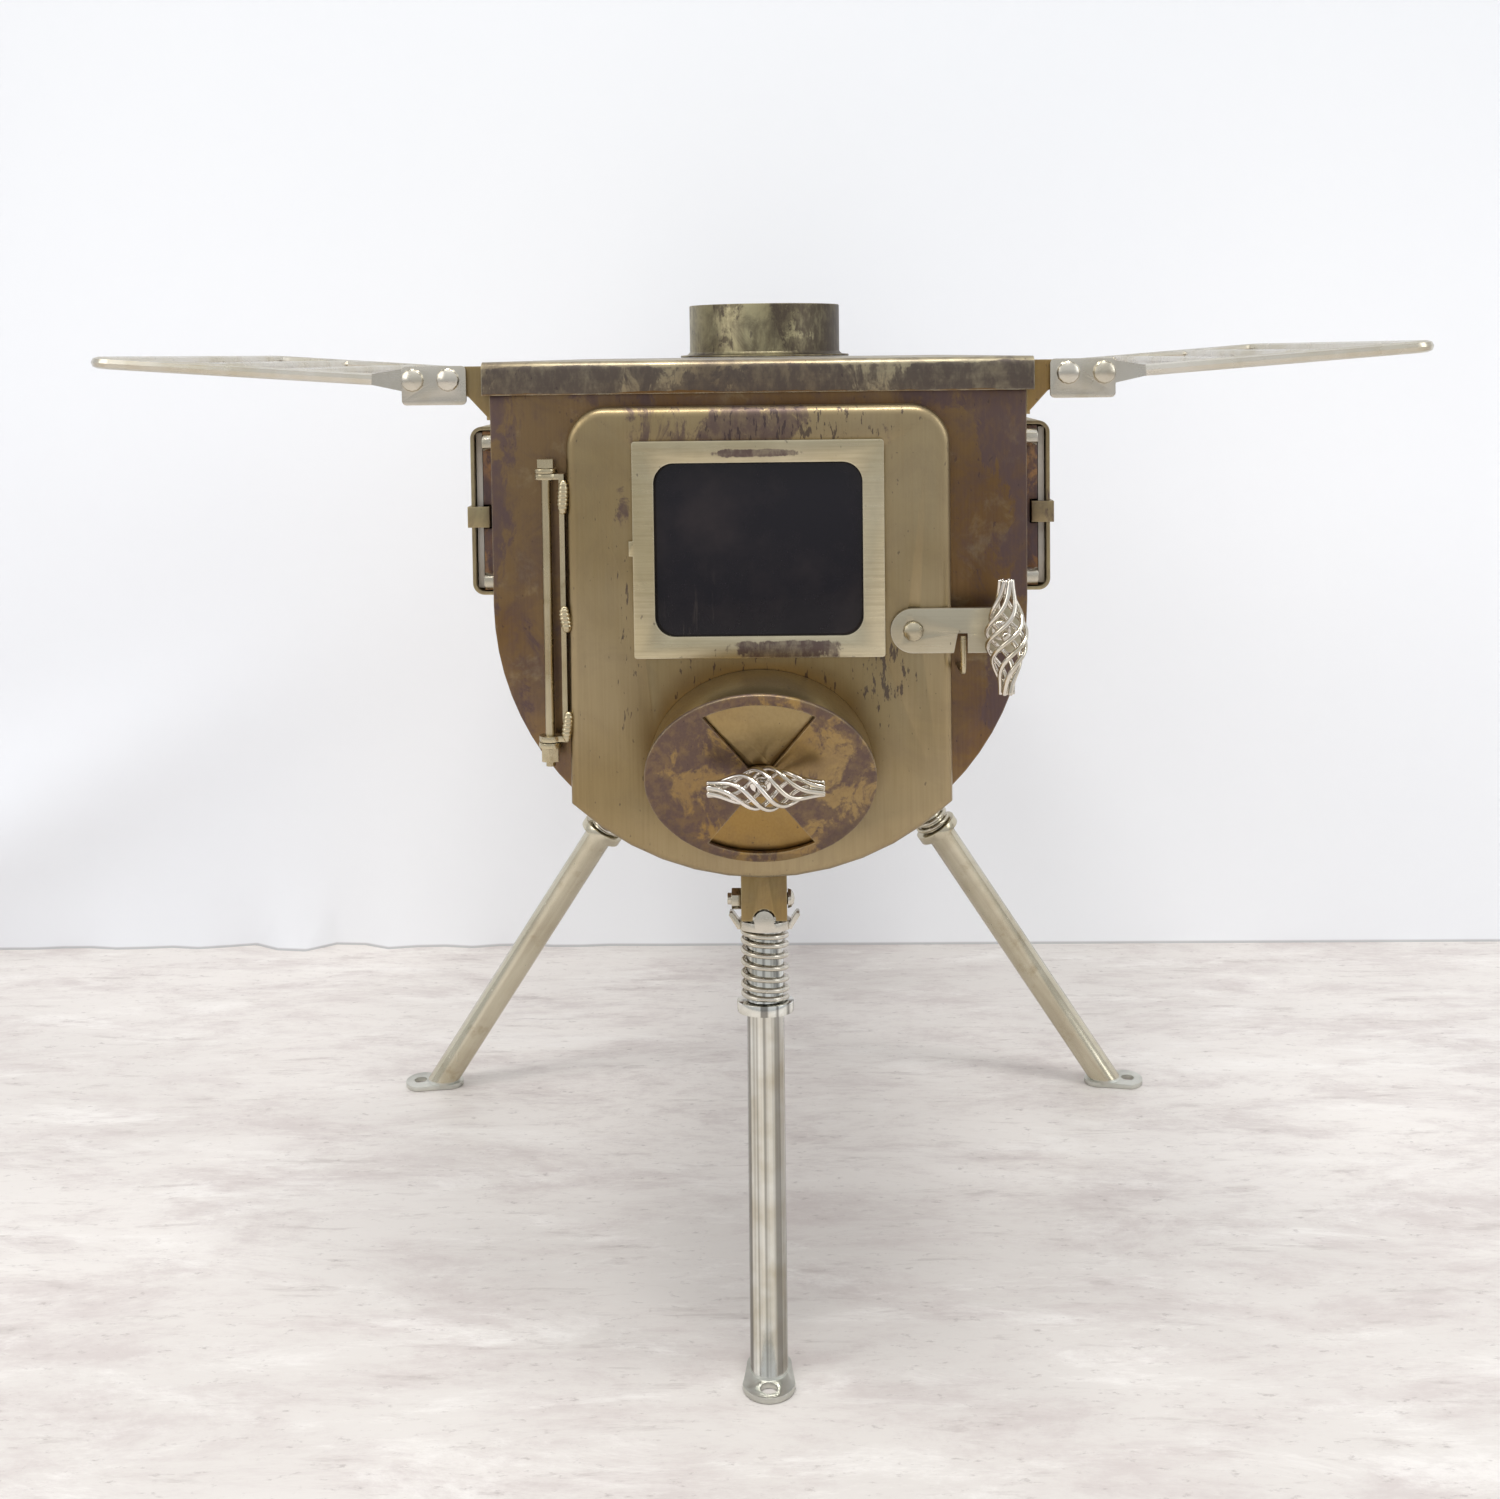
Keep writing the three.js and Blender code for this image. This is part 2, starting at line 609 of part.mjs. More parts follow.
function windowFrame() {
  const { halfWidth, lowZ, highZ, thickness } = paneFrame;
  const front = door.front - gap - thickness;
  const plate = facingFront(roundedBox(-halfWidth, halfWidth, lowZ, highZ, 1.2), front, front + thickness, 2);
  const seenWidth = paneView.halfWidth;
  const opening = roundedBox(-seenWidth, seenWidth, paneView.lowZ, paneView.highZ, paneView.cornerRadius);
  const tab = block(-halfWidth - 1.6, -halfWidth + 1, front, front + thickness, 348, 354);
  return cut(joined([plate, tab]), [facingFront(opening, front - 5, front + 5, 8)]);
}

// The inner frame: a shallow tray that presses the pane against the door's front.
function paneRetainer() {
  const back = door.front + pane.thickness + gap + sheet + 0.3;
  const tray = facingFront(roundedBox(-52, 52, 305.5, 395, 3), door.front + 2.1, back, 3);
  const pocket = facingFront(roundedBox(-50.5, 50.5, 307, 393.5, 2), door.front - 5, back - sheet, 3);
  const opening = facingFront(roundedBox(-42, 42, 315.5, 385, 6), door.front - 5, back + 5, 3);
  return cut(tray, [pocket, opening]);
}

// A strip beside the door with a knuckle at each end and three beads towards the door.
function hingeLeaf() {
  const right = -door.halfWidth - 0.8;
  const upper = [hinge.topZ - 4.3, hinge.topZ - 2.1];
  const lower = [hinge.lowZ + 2.6, hinge.lowZ + 4.8];
  const pieces = [block(right - 2, right, -10, -4, lower[0], upper[1])];
  const holes = [];
  for (const [z0, z1] of [upper, lower]) {
    pieces.push(facingUp(round(hinge.x, hinge.y, 4.5), z0, z1, 6));
    pieces.push(block(hinge.x, right - 0.5, hinge.y - 2.6, hinge.y + 2.6, z0, z1));
    holes.push(bar([hinge.x, hinge.y, z0 - 3], [hinge.x, hinge.y, z1 + 3], hinge.rodRadius + 0.4, 12));
  }
  for (const z of [371.5, 322.6, 279]) {
    const bead = new THREE.SphereGeometry(1, 8, 5).scale(1.4, 2.6, 5.5);
    pieces.push(bead.translate(right - 0.9, -9, z));
  }
  return cut(joined(pieces), holes);
}

function panelTab(z0, z1) {
  const ring = facingUp(round(hinge.x, hinge.y, 4.6), z0, z1, 6);
  const arm = block(hinge.x - 3.4, hinge.x + 3.4, hinge.y, -gap, z0, z1);
  const hole = bar([hinge.x, hinge.y, z0 - 3], [hinge.x, hinge.y, z1 + 3], hinge.rodRadius + 0.4, 12);
  return cut(joined([ring, arm]), [hole]);
}

// A long bolt with its hexagon head above the upper tab and its nut below the lower one.
function hingeRod() {
  const x = hinge.x;
  const y = hinge.y;
  return joined([
    bar([x, y, hinge.lowZ - 7.6], [x, y, hinge.topZ + 2], hinge.rodRadius, 12),
    bar([x, y, hinge.topZ + gap], [x, y, hinge.topZ + 3.8], 3.6, 6),
    bar([x, y, hinge.lowZ - 5.6], [x, y, hinge.lowZ - gap], 3.8, 6),
  ]);
}

place(stove, 'door_pan', doorPan(), khaki());
place(stove, 'door_window_frame', windowFrame(), khaki());
const paneOutline = roundedBox(-pane.halfWidth, pane.halfWidth, pane.lowZ, pane.highZ, 3);
place(stove, 'door_glass', facingFront(paneOutline, door.front, door.front + pane.thickness, 3), glass());
place(stove, 'door_glass_retainer', paneRetainer(), sooty());
place(stove, 'door_hinge_leaf', hingeLeaf(), khaki());
place(stove, 'hinge_tab_upper', panelTab(hinge.topZ - 1.8, hinge.topZ), khaki());
place(stove, 'hinge_tab_lower', panelTab(hinge.lowZ, hinge.lowZ + 2.2), khaki());
place(stove, 'hinge_rod', hingeRod(), bright());

// ---------------------------------------------------------------- air damper

const damperTilt = THREE.MathUtils.degToRad(damper.tilt);

function snoutHalfHeight() {
  return (damper.radius - 0.3) * Math.cos(THREE.MathUtils.degToRad(damper.tilt));
}

// The damper's own frame: Z out of the disc, forward and down; Y up the disc.
const damperFrame = new THREE.Group();
damperFrame.position.set(0, damper.y, damper.z);
damperFrame.rotation.x = Math.PI / 2 + damperTilt;
damperFrame.updateMatrix();
stove.add(damperFrame);

function sector(middle, halfAngle, inner, outer) {
  const from = THREE.MathUtils.degToRad(middle - halfAngle);
  const to = THREE.MathUtils.degToRad(middle + halfAngle);
  const outline = new THREE.Shape();
  outline.absarc(0, 0, outer, from, to);
  outline.absarc(0, 0, inner, to, from, true);
  return outline;
}

// An oval tube on the door, cut off on the slant and closed by a face plate with two air holes.
function damperHousing() {
  const halfWidth = damper.radius - 0.3;
  const halfHeight = snoutHalfHeight();
  const inDamper = (geometry) => geometry.applyMatrix4(damperFrame.matrix);
  const ahead = inDamper(block(-100, 100, -120, 120, -gap, 200));
  const behind = inDamper(block(-100, 100, -120, 120, -200, -gap - sheet));
  const start = door.front - gap;
  const outer = facingFront(oval(0, damper.z, halfWidth, halfHeight), -80, start, 22);
  const inner = facingFront(oval(0, damper.z, halfWidth - sheet, halfHeight - sheet), -80, start + 5, 22);
  const airHoles = [0, 180].map((middle) => inDamper(facingUp(sector(middle, 31, 8, 38.5), -5, 5, 8)));
  const bore = inDamper(bar([0, 0, -8], [0, 0, 8], 2.8, 12));
  return cut(cut(outer, [ahead]), [common(inner, behind), ...airHoles, bore]);
}

function damperDisc() {
  const disc = facingUp(round(0, 0, damper.radius), 0, damper.thickness, 28);
  const airHoles = [90, 270].map((middle) => facingUp(sector(middle, 32, 8, 39.8), -5, 5, 8));
  return cut(disc, [...airHoles, bar([0, 0, -5], [0, 0, 5], 2.8, 12)]);
}

// The bolt that the disc turns on, with its nut inside the housing.
function damperSpindle() {
  const nutTop = -gap - sheet - gap;
  return joined([
    bar([0, 0, -7], [0, 0, damper.thickness], 2.5, 12),
    bar([0, 0, -5.8], [0, 0, nutTop], 4.6, 6),
  ]);
}

// The handle's neck runs level and forward, so the cage stands clear of the slanted disc.
function damperHandle() {
  const rise = damper.neck * Math.sin(damperTilt);
  const out = damper.neck * Math.cos(damperTilt);
  const foot = damper.thickness + gap;
  const start = foot + 1.3;
  const neck = bar([0, (start / out) * rise, start], [0, rise, out], 2, 10);
  const washer = bar([0, 0.5, foot], [0, 0.5, foot + 1.4], 4.2, 16);
  return joined([wireCage().translate(2.2, rise, out), neck, washer]);
}

place(stove, 'damper_housing', damperHousing(), khaki());
place(damperFrame, 'damper_disc', damperDisc(), heatTint());
place(damperFrame, 'damper_spindle', damperSpindle(), bright());
place(damperFrame, 'damper_handle', damperHandle(), bright());

// ---------------------------------------------------------------- latch

// The bar falls into the hook; its notch, wider at the mouth, straddles the hook's tip.
function latchBar() {
  const { x, z, halfHeight, endX, front, thickness } = latch;
  const outline = new THREE.Shape();
  outline.absarc(x, z, halfHeight, Math.PI / 2, 1.5 * Math.PI);
  outline.lineTo(hook.x - hook.wireRadius - 2.2, z - halfHeight);
  outline.lineTo(hook.x - hook.wireRadius - swing, hook.tipZ + swing);
  outline.lineTo(hook.x + hook.wireRadius + swing + 0.4, hook.tipZ + swing);
  outline.lineTo(hook.x + hook.wireRadius + swing + 0.4, z - halfHeight);
  outline.lineTo(endX, z - halfHeight);
  outline.lineTo(endX, z + halfHeight);
  const plate = facingFront(outline, front, front + thickness, 12);
  return cut(plate, [bar([x, front - 5, z], [x, front + 8, z], 2.8, 12)]);
}

function latchRivet() {
  const inside = door.front + 1.8 + gap;
  const point = (y) => [latch.x, y, latch.z];
  const head = dome(4.2, 2.7).rotateX(Math.PI / 2).translate(latch.x, latch.front - gap, latch.z);
  return joined([
    head,
    bar(point(latch.front - gap - 0.5), point(inside + 1), 2.5, 12),
    bar(point(inside), point(inside + 1.2), 4, 12),
  ]);
}

// A wire from the front panel that runs forward under the bar and up in front of it.
function latchHook() {
  const bend = 2.5;
  const points = [new THREE.Vector3(hook.x, -gap, hook.lowZ)];
  for (let step = 0; step <= 4; step += 1) {
    const turn = (step / 4) * (Math.PI / 2);
    const y = hook.front + bend - bend * Math.sin(turn);
    points.push(new THREE.Vector3(hook.x, y, hook.lowZ + bend - bend * Math.cos(turn)));
  }
  points.push(new THREE.Vector3(hook.x, hook.front, hook.tipZ));
  return sweep(points, hook.wireRadius, 8);
}

function latchHandle() {
  const handleX = 95.2;
  const handleY = -30.5;
  const upright = wireCage().rotateY(-Math.PI / 2).translate(handleX, handleY, latch.z);
  const neck = bar([handleX, latch.front - gap, latch.z], [handleX, handleY, latch.z], 2, 10);
  const washer = bar([handleX, latch.front - gap, latch.z], [handleX, latch.front - 1.5, latch.z], 3.8, 12);
  return joined([upright, neck, washer]);
}

place(stove, 'latch_bar', latchBar(), bright());
place(stove, 'latch_rivet', latchRivet(), bright());
place(stove, 'latch_handle', latchHandle(), bright());
place(stove, 'latch_hook', latchHook(), bright());

// ---------------------------------------------------------------- folding legs

// A leg's own frame: origin on its bolt, X along the bolt, Z up the leg, folding towards +Y.
function legFrame({ pivot, foot, folds }) {
  const up = new THREE.Vector3(...pivot).sub(new THREE.Vector3(...foot)).normalize();
  const along = new THREE.Vector3(0, folds, 0).cross(up).normalize();
  const towards = up.clone().cross(along);
  return new THREE.Matrix4().makeBasis(along, towards, up).setPosition(...pivot);
}

// A folded channel whose cheeks are rounded about the bolt, so that the lock can swing past.
function legBracket(frame) {
  const height = 60;
  const cheek = new THREE.Shape();
  const meets = Math.acos(bracket.bottom / bracket.rear);
  cheek.moveTo(-bracket.web, height);
  cheek.lineTo(-bracket.web, -bracket.bottom);
  cheek.absarc(0, 0, bracket.rear, meets - Math.PI / 2, 0);
  cheek.lineTo(bracket.rear, height);
  const whole = facingSide(cheek, -bracket.outer, bracket.outer, 6);
  const hollow = block(-bracket.inner, bracket.inner, -bracket.web + sheet, 50, -50, height + 5);
  const boltHole = bar([-20, 0, 0], [20, 0, 0], 2.8, 12);
  const notch = bar([0, -20, -bracket.bottom], [0, -5, -bracket.bottom], 5, 20);
  const channel = cut(whole, [hollow, boltHole, notch]).applyMatrix4(frame);
  const firebox = bar([0, -50, body.axisZ], [0, 500, body.axisZ], body.radius + gap, 96);
  return cut(channel, [firebox]);
}

// The plate under a foot: rounded at both ends, with a hole for a tent peg.
function footOutline({ foot, outward, plate }) {
  const along = (distance) => [foot[0] + outward[0] * distance, foot[1] + outward[1] * distance];
  const lean = Math.asin((plate.outer - plate.inner) / (plate.outerAt + plate.innerAt));
  const facing = Math.atan2(outward[1], outward[0]);
  const side = Math.PI / 2 - lean;
  const outline = new THREE.Shape();
  outline.absarc(...along(plate.outerAt), plate.outer, facing - side, facing + side);
  outline.absarc(...along(-plate.innerAt), plate.inner, facing + side, facing + 2 * Math.PI - side);
  outline.holes.push(new THREE.Path().absarc(...along(plate.holeAt), footPlate.hole, 0, 2 * Math.PI, true));
  return facingUp(outline, 0, footPlate.thickness, 7);
}

// The tube, rounded about its bolt at the top, with the spring's flange and the foot plate.
function legTube(spec, frame) {
  const length = new THREE.Vector3(...spec.pivot).distanceTo(new THREE.Vector3(...spec.foot));
  const tube = bar([0, 0, -length - 20], [0, 0, 0], leg.tube, 16);
  const crown = common(bar([0, 0, -1], [0, 0, 20], leg.tube, 16), bar([-20, 0, 0], [20, 0, 0], leg.tube, 20));
  const flange = bar([0, 0, -leg.flangeBottom], [0, 0, -leg.flangeTop], leg.flangeRadius, 28);
  const bore = bar([0, 0, -length + 12], [0, 0, 20], leg.tube - leg.wall, 12);
  const boltHole = bar([-20, 0, 0], [20, 0, 0], 2.8, 12);
  const upper = cut(joined([tube, crown, flange]), [bore, boltHole]).applyMatrix4(frame);
  const underground = block(-400, 400, -100, 500, -100, footPlate.thickness / 2);
  return joined([cut(upper, [underground]), footOutline(spec)]);
}

// A dome-headed bolt with its nut, across the bracket's cheeks.
function legBolt() {
  const side = bracket.outer + gap;
  const head = dome(4.3, 3).rotateY(Math.PI / 2).translate(side, 0, 0);
  return joined([
    bar([-side - 5.8, 0, 0], [side + 0.5, 0, 0], 2.5, 12),
    head,
    bar([-side - 4, 0, 0], [-side, 0, 0], 4.6, 6),
  ]);
}

// A sliding ring with a nose that enters the bracket's notch and two flared finger tabs.
function legLock() {
  const ring = revolved([
    [lock.inner, -lock.bottom],
    [lock.outer, -lock.bottom],
    [lock.outer, -lock.top],
    [lock.inner, -lock.top],
    [lock.inner, -lock.bottom],
  ], 28);
  const nose = bar([0, -lock.outer, -bracket.bottom], [0, -lock.inner - 0.4, -bracket.bottom], 4.3, 16);
  const below = block(-20, 20, -20, 20, -40, -lock.bottom + 1);
  const ear = polygon([
    [lock.outer - 1.2, -lock.bottom],
    [lock.outer + 0.2, -lock.bottom],
    [lock.earX, -lock.earTop - 1],
    [lock.earX - 0.4, -lock.earTop],
    [lock.earX - 1.6, -lock.earTop],
    [lock.outer - 0.8, -lock.bottom + 2.6],
  ]);
  const tab = facingFront(ear, -4, 4);
  return joined([ring, cut(nose, [below]), tab, mirrored(tab, 'x')]);
}

// One unbroken wire: straight for its own thickness, round in a helix, and straight again.
function springPath() {
  const top = -lock.bottom - gap;
  const bottom = -leg.flangeTop + gap;
  const first = top - spring.straight;
  const last = bottom + spring.straight;
  const points = [new THREE.Vector3(spring.radius, 0, top)];
  const count = spring.turns * spring.steps;
  for (let step = 0; step <= count; step += 1) {
    const turn = (2 * Math.PI * step) / spring.steps;
    const z = first + ((last - first) * step) / count;
    points.push(new THREE.Vector3(spring.radius * Math.cos(turn), spring.radius * Math.sin(turn), z));
  }
  points.push(new THREE.Vector3(spring.radius, 0, bottom));
  return points;
}

// The least distance between the wire's own turns, measured on points along its path.
function leastGap(points, wire) {
  const fine = [];
  for (let i = 0; i + 1 < points.length; i += 1) {
    for (let k = 0; k < 6; k += 1) fine.push(points[i].clone().lerp(points[i + 1], k / 6));
  }
  const apart = spring.steps * 6 * 0.6;
  let least = Infinity;
  for (let i = 0; i < fine.length; i += 1) {
    for (let k = i + apart; k < fine.length; k += 1) {
      least = Math.min(least, fine[i].distanceTo(fine[Math.floor(k)]));
    }
  }
  return least - 2 * wire;
}

const wirePath = springPath();
console.log(`least gap between a leg spring's turns: ${leastGap(wirePath, spring.wire).toFixed(2)} mm`);

for (const spec of legs) {
  const frame = legFrame(spec);
  place(stove, `leg_bracket_${spec.name}`, legBracket(frame), khaki());
  place(stove, `leg_tube_${spec.name}`, legTube(spec, frame), bright());
  const turned = new THREE.Group();
  turned.applyMatrix4(frame);
  place(turned, `leg_bolt_${spec.name}`, legBolt(), bright());
  place(turned, `leg_lock_${spec.name}`, legLock(), bright());
  place(turned, `leg_spring_${spec.name}`, sweep(wirePath, spring.wire, spring.sides), bright());
  stove.add(turned);
}

// ---------------------------------------------------------------- origin

// The origin moves under the middle of the whole stove.
stove.updateMatrixWorld(true);
const bounds = new THREE.Box3().setFromObject(stove, true);
stove.position.y = -(bounds.min.y + bounds.max.y) / 2;

export default stove;
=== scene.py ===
"""The looks, floor, light and camera of a folding tent stove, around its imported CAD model."""

import math

import bmesh
import bpy
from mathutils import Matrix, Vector


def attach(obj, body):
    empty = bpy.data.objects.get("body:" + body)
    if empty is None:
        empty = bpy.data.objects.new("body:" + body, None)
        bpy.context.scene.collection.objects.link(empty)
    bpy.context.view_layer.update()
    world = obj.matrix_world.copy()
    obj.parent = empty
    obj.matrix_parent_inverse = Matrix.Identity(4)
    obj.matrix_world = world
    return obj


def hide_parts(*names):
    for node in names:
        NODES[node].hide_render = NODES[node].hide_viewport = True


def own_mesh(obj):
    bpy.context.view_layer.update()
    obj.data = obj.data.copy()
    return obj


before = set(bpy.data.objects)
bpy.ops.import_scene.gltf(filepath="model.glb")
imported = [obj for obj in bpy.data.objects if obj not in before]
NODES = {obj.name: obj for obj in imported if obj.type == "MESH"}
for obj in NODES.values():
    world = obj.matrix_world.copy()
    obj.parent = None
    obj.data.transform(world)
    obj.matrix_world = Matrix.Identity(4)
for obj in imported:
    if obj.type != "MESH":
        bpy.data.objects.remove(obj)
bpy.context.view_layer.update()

# The source counts Y back from the front panel's outer face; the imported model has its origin
# under the middle of the whole stove, this much further back.
FRONT_PANEL_Y = -0.161146


def spot(x, y, z):
    """A point given in millimetres, with y behind the front panel, in the row frame."""
    return Vector((x / 1000, y / 1000 + FRONT_PANEL_Y, z / 1000))


# ---------------------------------------------------------------- colours


def linear(red, green, blue):
    """A colour as it shows on a screen, from 0 to 255, as the shader wants it."""
    parts = []
    for value in (red, green, blue):
        share = value / 255
        parts.append(share / 12.92 if share <= 0.04045 else ((share + 0.055) / 1.055) ** 2.4)
    return (*parts, 1.0)


BROWN = linear(130, 107, 78)
RUST = linear(118, 90, 58)
KHAKI = linear(168, 151, 116)
OLIVE = linear(150, 131, 94)
STRAW = linear(190, 177, 142)
GOLD = linear(158, 128, 76)
PURPLE = linear(96, 80, 80)
DUSK = linear(74, 64, 66)
SLATE = linear(92, 83, 78)
SILVER = linear(208, 203, 192)
WARM_SILVER = linear(190, 181, 158)
GRAIN_SHADE = (0.72, 0.69, 0.66, 1)  # what the grooves of brushed sheet are multiplied by

# ---------------------------------------------------------------- materials


class Graph:
    """The node graph of one material, with short words for the nodes that it uses."""

    def __init__(self, name):
        self.material = bpy.data.materials.new(name)
        self.material.use_nodes = True
        self.tree = self.material.node_tree
        self.shader = self.tree.nodes["Principled BSDF"]
        self.place = self.add("ShaderNodeTexCoord").outputs["Object"]
        self.axes = self.add("ShaderNodeSeparateXYZ", {0: self.place}).outputs

    def add(self, kind, inputs=None, **settings):
        node = self.tree.nodes.new(kind)
        for key, value in settings.items():
            setattr(node, key, value)
        for key, value in (inputs or {}).items():
            self.feed(node.inputs[key], value)
        return node

    def feed(self, socket, value):
        if isinstance(value, bpy.types.NodeSocket):
            self.tree.links.new(value, socket)
        else:
            socket.default_value = value

    def math(self, operation, a, b=0.0):
        return self.add("ShaderNodeMath", {0: a, 1: b}, operation=operation).outputs[0]

    def total(self, first, *rest):
        for value in rest:
            first = self.math("ADD", first, value)
        return first

    def times(self, first, *rest):
        for value in rest:
            first = self.math("MULTIPLY", first, value)
        return first

    def most(self, first, *rest):
        for value in rest:
            first = self.math("MAXIMUM", first, value)
        return first

    def less(self, value, amount):
        return self.math("SUBTRACT", value, amount)

    def size_of(self, value):
        return self.math("ABSOLUTE", value)

    def fit(self, value, low, high, to_low=0.0, to_high=1.0):
        """value eased from low..high to to_low..to_high, and held there outside."""
        inputs = {0: value, 1: low, 2: high, 3: to_low, 4: to_high}
        return self.add("ShaderNodeMapRange", inputs, interpolation_type="SMOOTHSTEP").outputs[0]

    def near(self, value, centre, reach):
        """1 where value is at centre, falling to 0 at reach away from it."""
        return self.fit(self.size_of(self.less(value, centre)), 0.0, reach, 1.0, 0.0)

    def mix(self, share, a, b, blend="MIX"):
        inputs = {0: share, 6: a, 7: b}
        return self.add("ShaderNodeMix", inputs, data_type="RGBA", blend_type=blend).outputs[2]

    def noise(self, scale, stretch=(1, 1, 1), detail=3.0, rough=0.5, warp=0.0, shift=0.0):
        mapping = {"Vector": self.place, "Scale": stretch, "Location": (shift, shift, shift)}
        moved = self.add("ShaderNodeMapping", mapping).outputs[0]
        inputs = {
            "Vector": moved, "Scale": scale, "Detail": detail, "Roughness": rough,
            "Distortion": warp,
        }
        return self.add("ShaderNodeTexNoise", inputs).outputs[0]

    def relief(self, height, strength, depth):
        inputs = {"Height": height, "Strength": strength, "Distance": depth}
        return self.add("ShaderNodeBump", inputs).outputs[0]

    def normal(self):
        return self.add("ShaderNodeNewGeometry").outputs["Normal"]

    def worn_and_highlit_edge(self, radius):
        """1 on sharp edges, where the sheet is painted lighter, partly as wear from handling and
        partly as painted highlight; 0 on flat faces.
        """
        bevel = self.add("ShaderNodeBevel", {"Radius": radius}, samples=4).outputs[0]
        inputs = {0: bevel, 1: self.normal()}
        product = self.add("ShaderNodeVectorMath", inputs, operation="DOT_PRODUCT")
        return self.fit(self.less(1.0, product.outputs["Value"]), 0.02, 0.25)

    def finish(self, colour, roughness, metallic, normal=None):
        self.feed(self.shader.inputs["Base Color"], colour)
        self.feed(self.shader.inputs["Roughness"], roughness)
        self.feed(self.shader.inputs["Metallic"], metallic)
        if normal is not None:
            self.feed(self.shader.inputs["Normal"], normal)
        return self.material


# How much a noise is squeezed along each axis: a small share draws it out along that axis.
ALONG_X = (0.03, 1, 1)
ALONG_Z = (1, 1, 0.03)

PATCH_START, PATCH_FULL = 0.635, 0.68  # noise levels at which a patch of dark tint begins, is full
# How wide the lighter edges are: partly wear, partly painted highlight.
EDGE_WEAR_AND_HIGHLIGHT_WIDTH = 0.0012


def tinted_steel(
    name, base, warm, dark, cover, grain=ALONG_Z, roughness=0.36, where=None, drip=None,
    shift=0.0, strength=0.85, edge=None, clouds=0.42, size=1.0, hem=None, brushing=0.22,
):
    """Brushed stainless sheet that heat has tinted, with torn patches of a darker tint.

    base and warm mix in broad clouds, and dark is the tint of the patches. cover is how much of
    the sheet they take, size how large and strength how dense they are. where(g) adds to them in
    places, and drip(g) says where short upright drips hang. clouds is how strong the faint
    mottling is, edge the lighter colour of sharp edges, partly wear and partly painted highlight,
    and brushing how clearly the grain shows.
    hem(g) marks where the sheet is burnt to rust. shift moves the patterns, so that sheets differ.
    """
    g = Graph(name)
    broad = g.noise(9, detail=3, rough=0.6, shift=shift)
    colour = g.mix(g.fit(broad, 0.34, 0.66), base, warm)
    cloud = g.noise(38, detail=7, rough=0.72, warp=0.6, shift=shift + 11)
    colour = g.mix(g.fit(cloud, 0.42, 0.66, 0.0, clouds), colour, dark)
    pale = g.noise(52, detail=6, rough=0.7, warp=0.4, shift=shift + 17)
    colour = g.mix(g.fit(pale, 0.55, 0.72, 0.0, clouds * 0.35), colour, STRAW)

    brush = g.noise(1100, grain, detail=2, shift=shift)
    worn = g.mix(1.0, colour, GRAIN_SHADE, "MULTIPLY")
    colour = g.mix(g.fit(brush, 0.3, 0.75, 0.0, brushing), colour, worn)

    torn = g.noise(70 / size, (1, 1, 0.55), detail=10, rough=0.72, warp=0.5, shift=shift)
    large = g.noise(15 / size, detail=3, shift=shift + 3)
    level = g.total(g.times(torn, 0.5), g.times(large, 0.5))
    if where is not None:
        level = g.total(level, g.times(where(g), 0.2))
    patches = g.fit(level, PATCH_START - cover, PATCH_FULL - cover)
    thinning = g.noise(260, (1, 1, 0.5), detail=4, rough=0.65, shift=shift + 5)
    thin = g.fit(thinning, 0.3, 0.6, 0.6, 1.0)
    colour = g.mix(g.times(patches, thin, strength), colour, dark)

    if drip is not None:
        hanging = g.noise(520, (1, 1, 0.24), detail=4, rough=0.6, shift=shift + 7)
        drips = g.fit(g.total(hanging, g.times(drip(g), 0.15)), 0.69, 0.74)
        colour = g.mix(g.times(drips, 0.75), colour, DUSK)
    specks = g.noise(480, (1, 1, 0.6), detail=2, rough=0.5, shift=shift + 9)
    colour = g.mix(g.fit(specks, 0.7, 0.74, 0, 0.5), colour, DUSK)
    if hem is not None:
        colour = g.mix(hem(g), colour, RUST)
    # Sharp edges painted lighter: partly wear, partly painted highlight.
    if edge is not None:
        patchy_wear_and_highlight = g.fit(g.noise(160, detail=4, shift=shift + 2), 0.35, 0.65, 0.35, 1.0)
        colour = g.mix(g.times(g.worn_and_highlit_edge(EDGE_WEAR_AND_HIGHLIGHT_WIDTH), patchy_wear_and_highlight), colour, edge)

    rough = g.fit(brush, 0.2, 0.8, roughness - 0.04, roughness + 0.06)
    rough = g.total(rough, g.times(patches, 0.1))
    height = g.total(g.times(brush, 0.4), g.times(patches, -0.1), g.times(cloud, 0.25))
    return g.finish(colour, rough, 1.0, g.relief(height, 0.3, 0.0002))


FRONT_LEG_LEAN = 24 / 194.6  # how far the front leg leans back for its height
# The dark of the painted reflection bands along the front leg.
REFLECTION_BAND_DARK = linear(96, 92, 86)
FOOT_PALE, FOOT_DULL = linear(214, 214, 206), linear(188, 188, 180)
FOOT_TOP = (0.0032, 0.0045)  # heights over which the foot plate's look gives way to the tube's


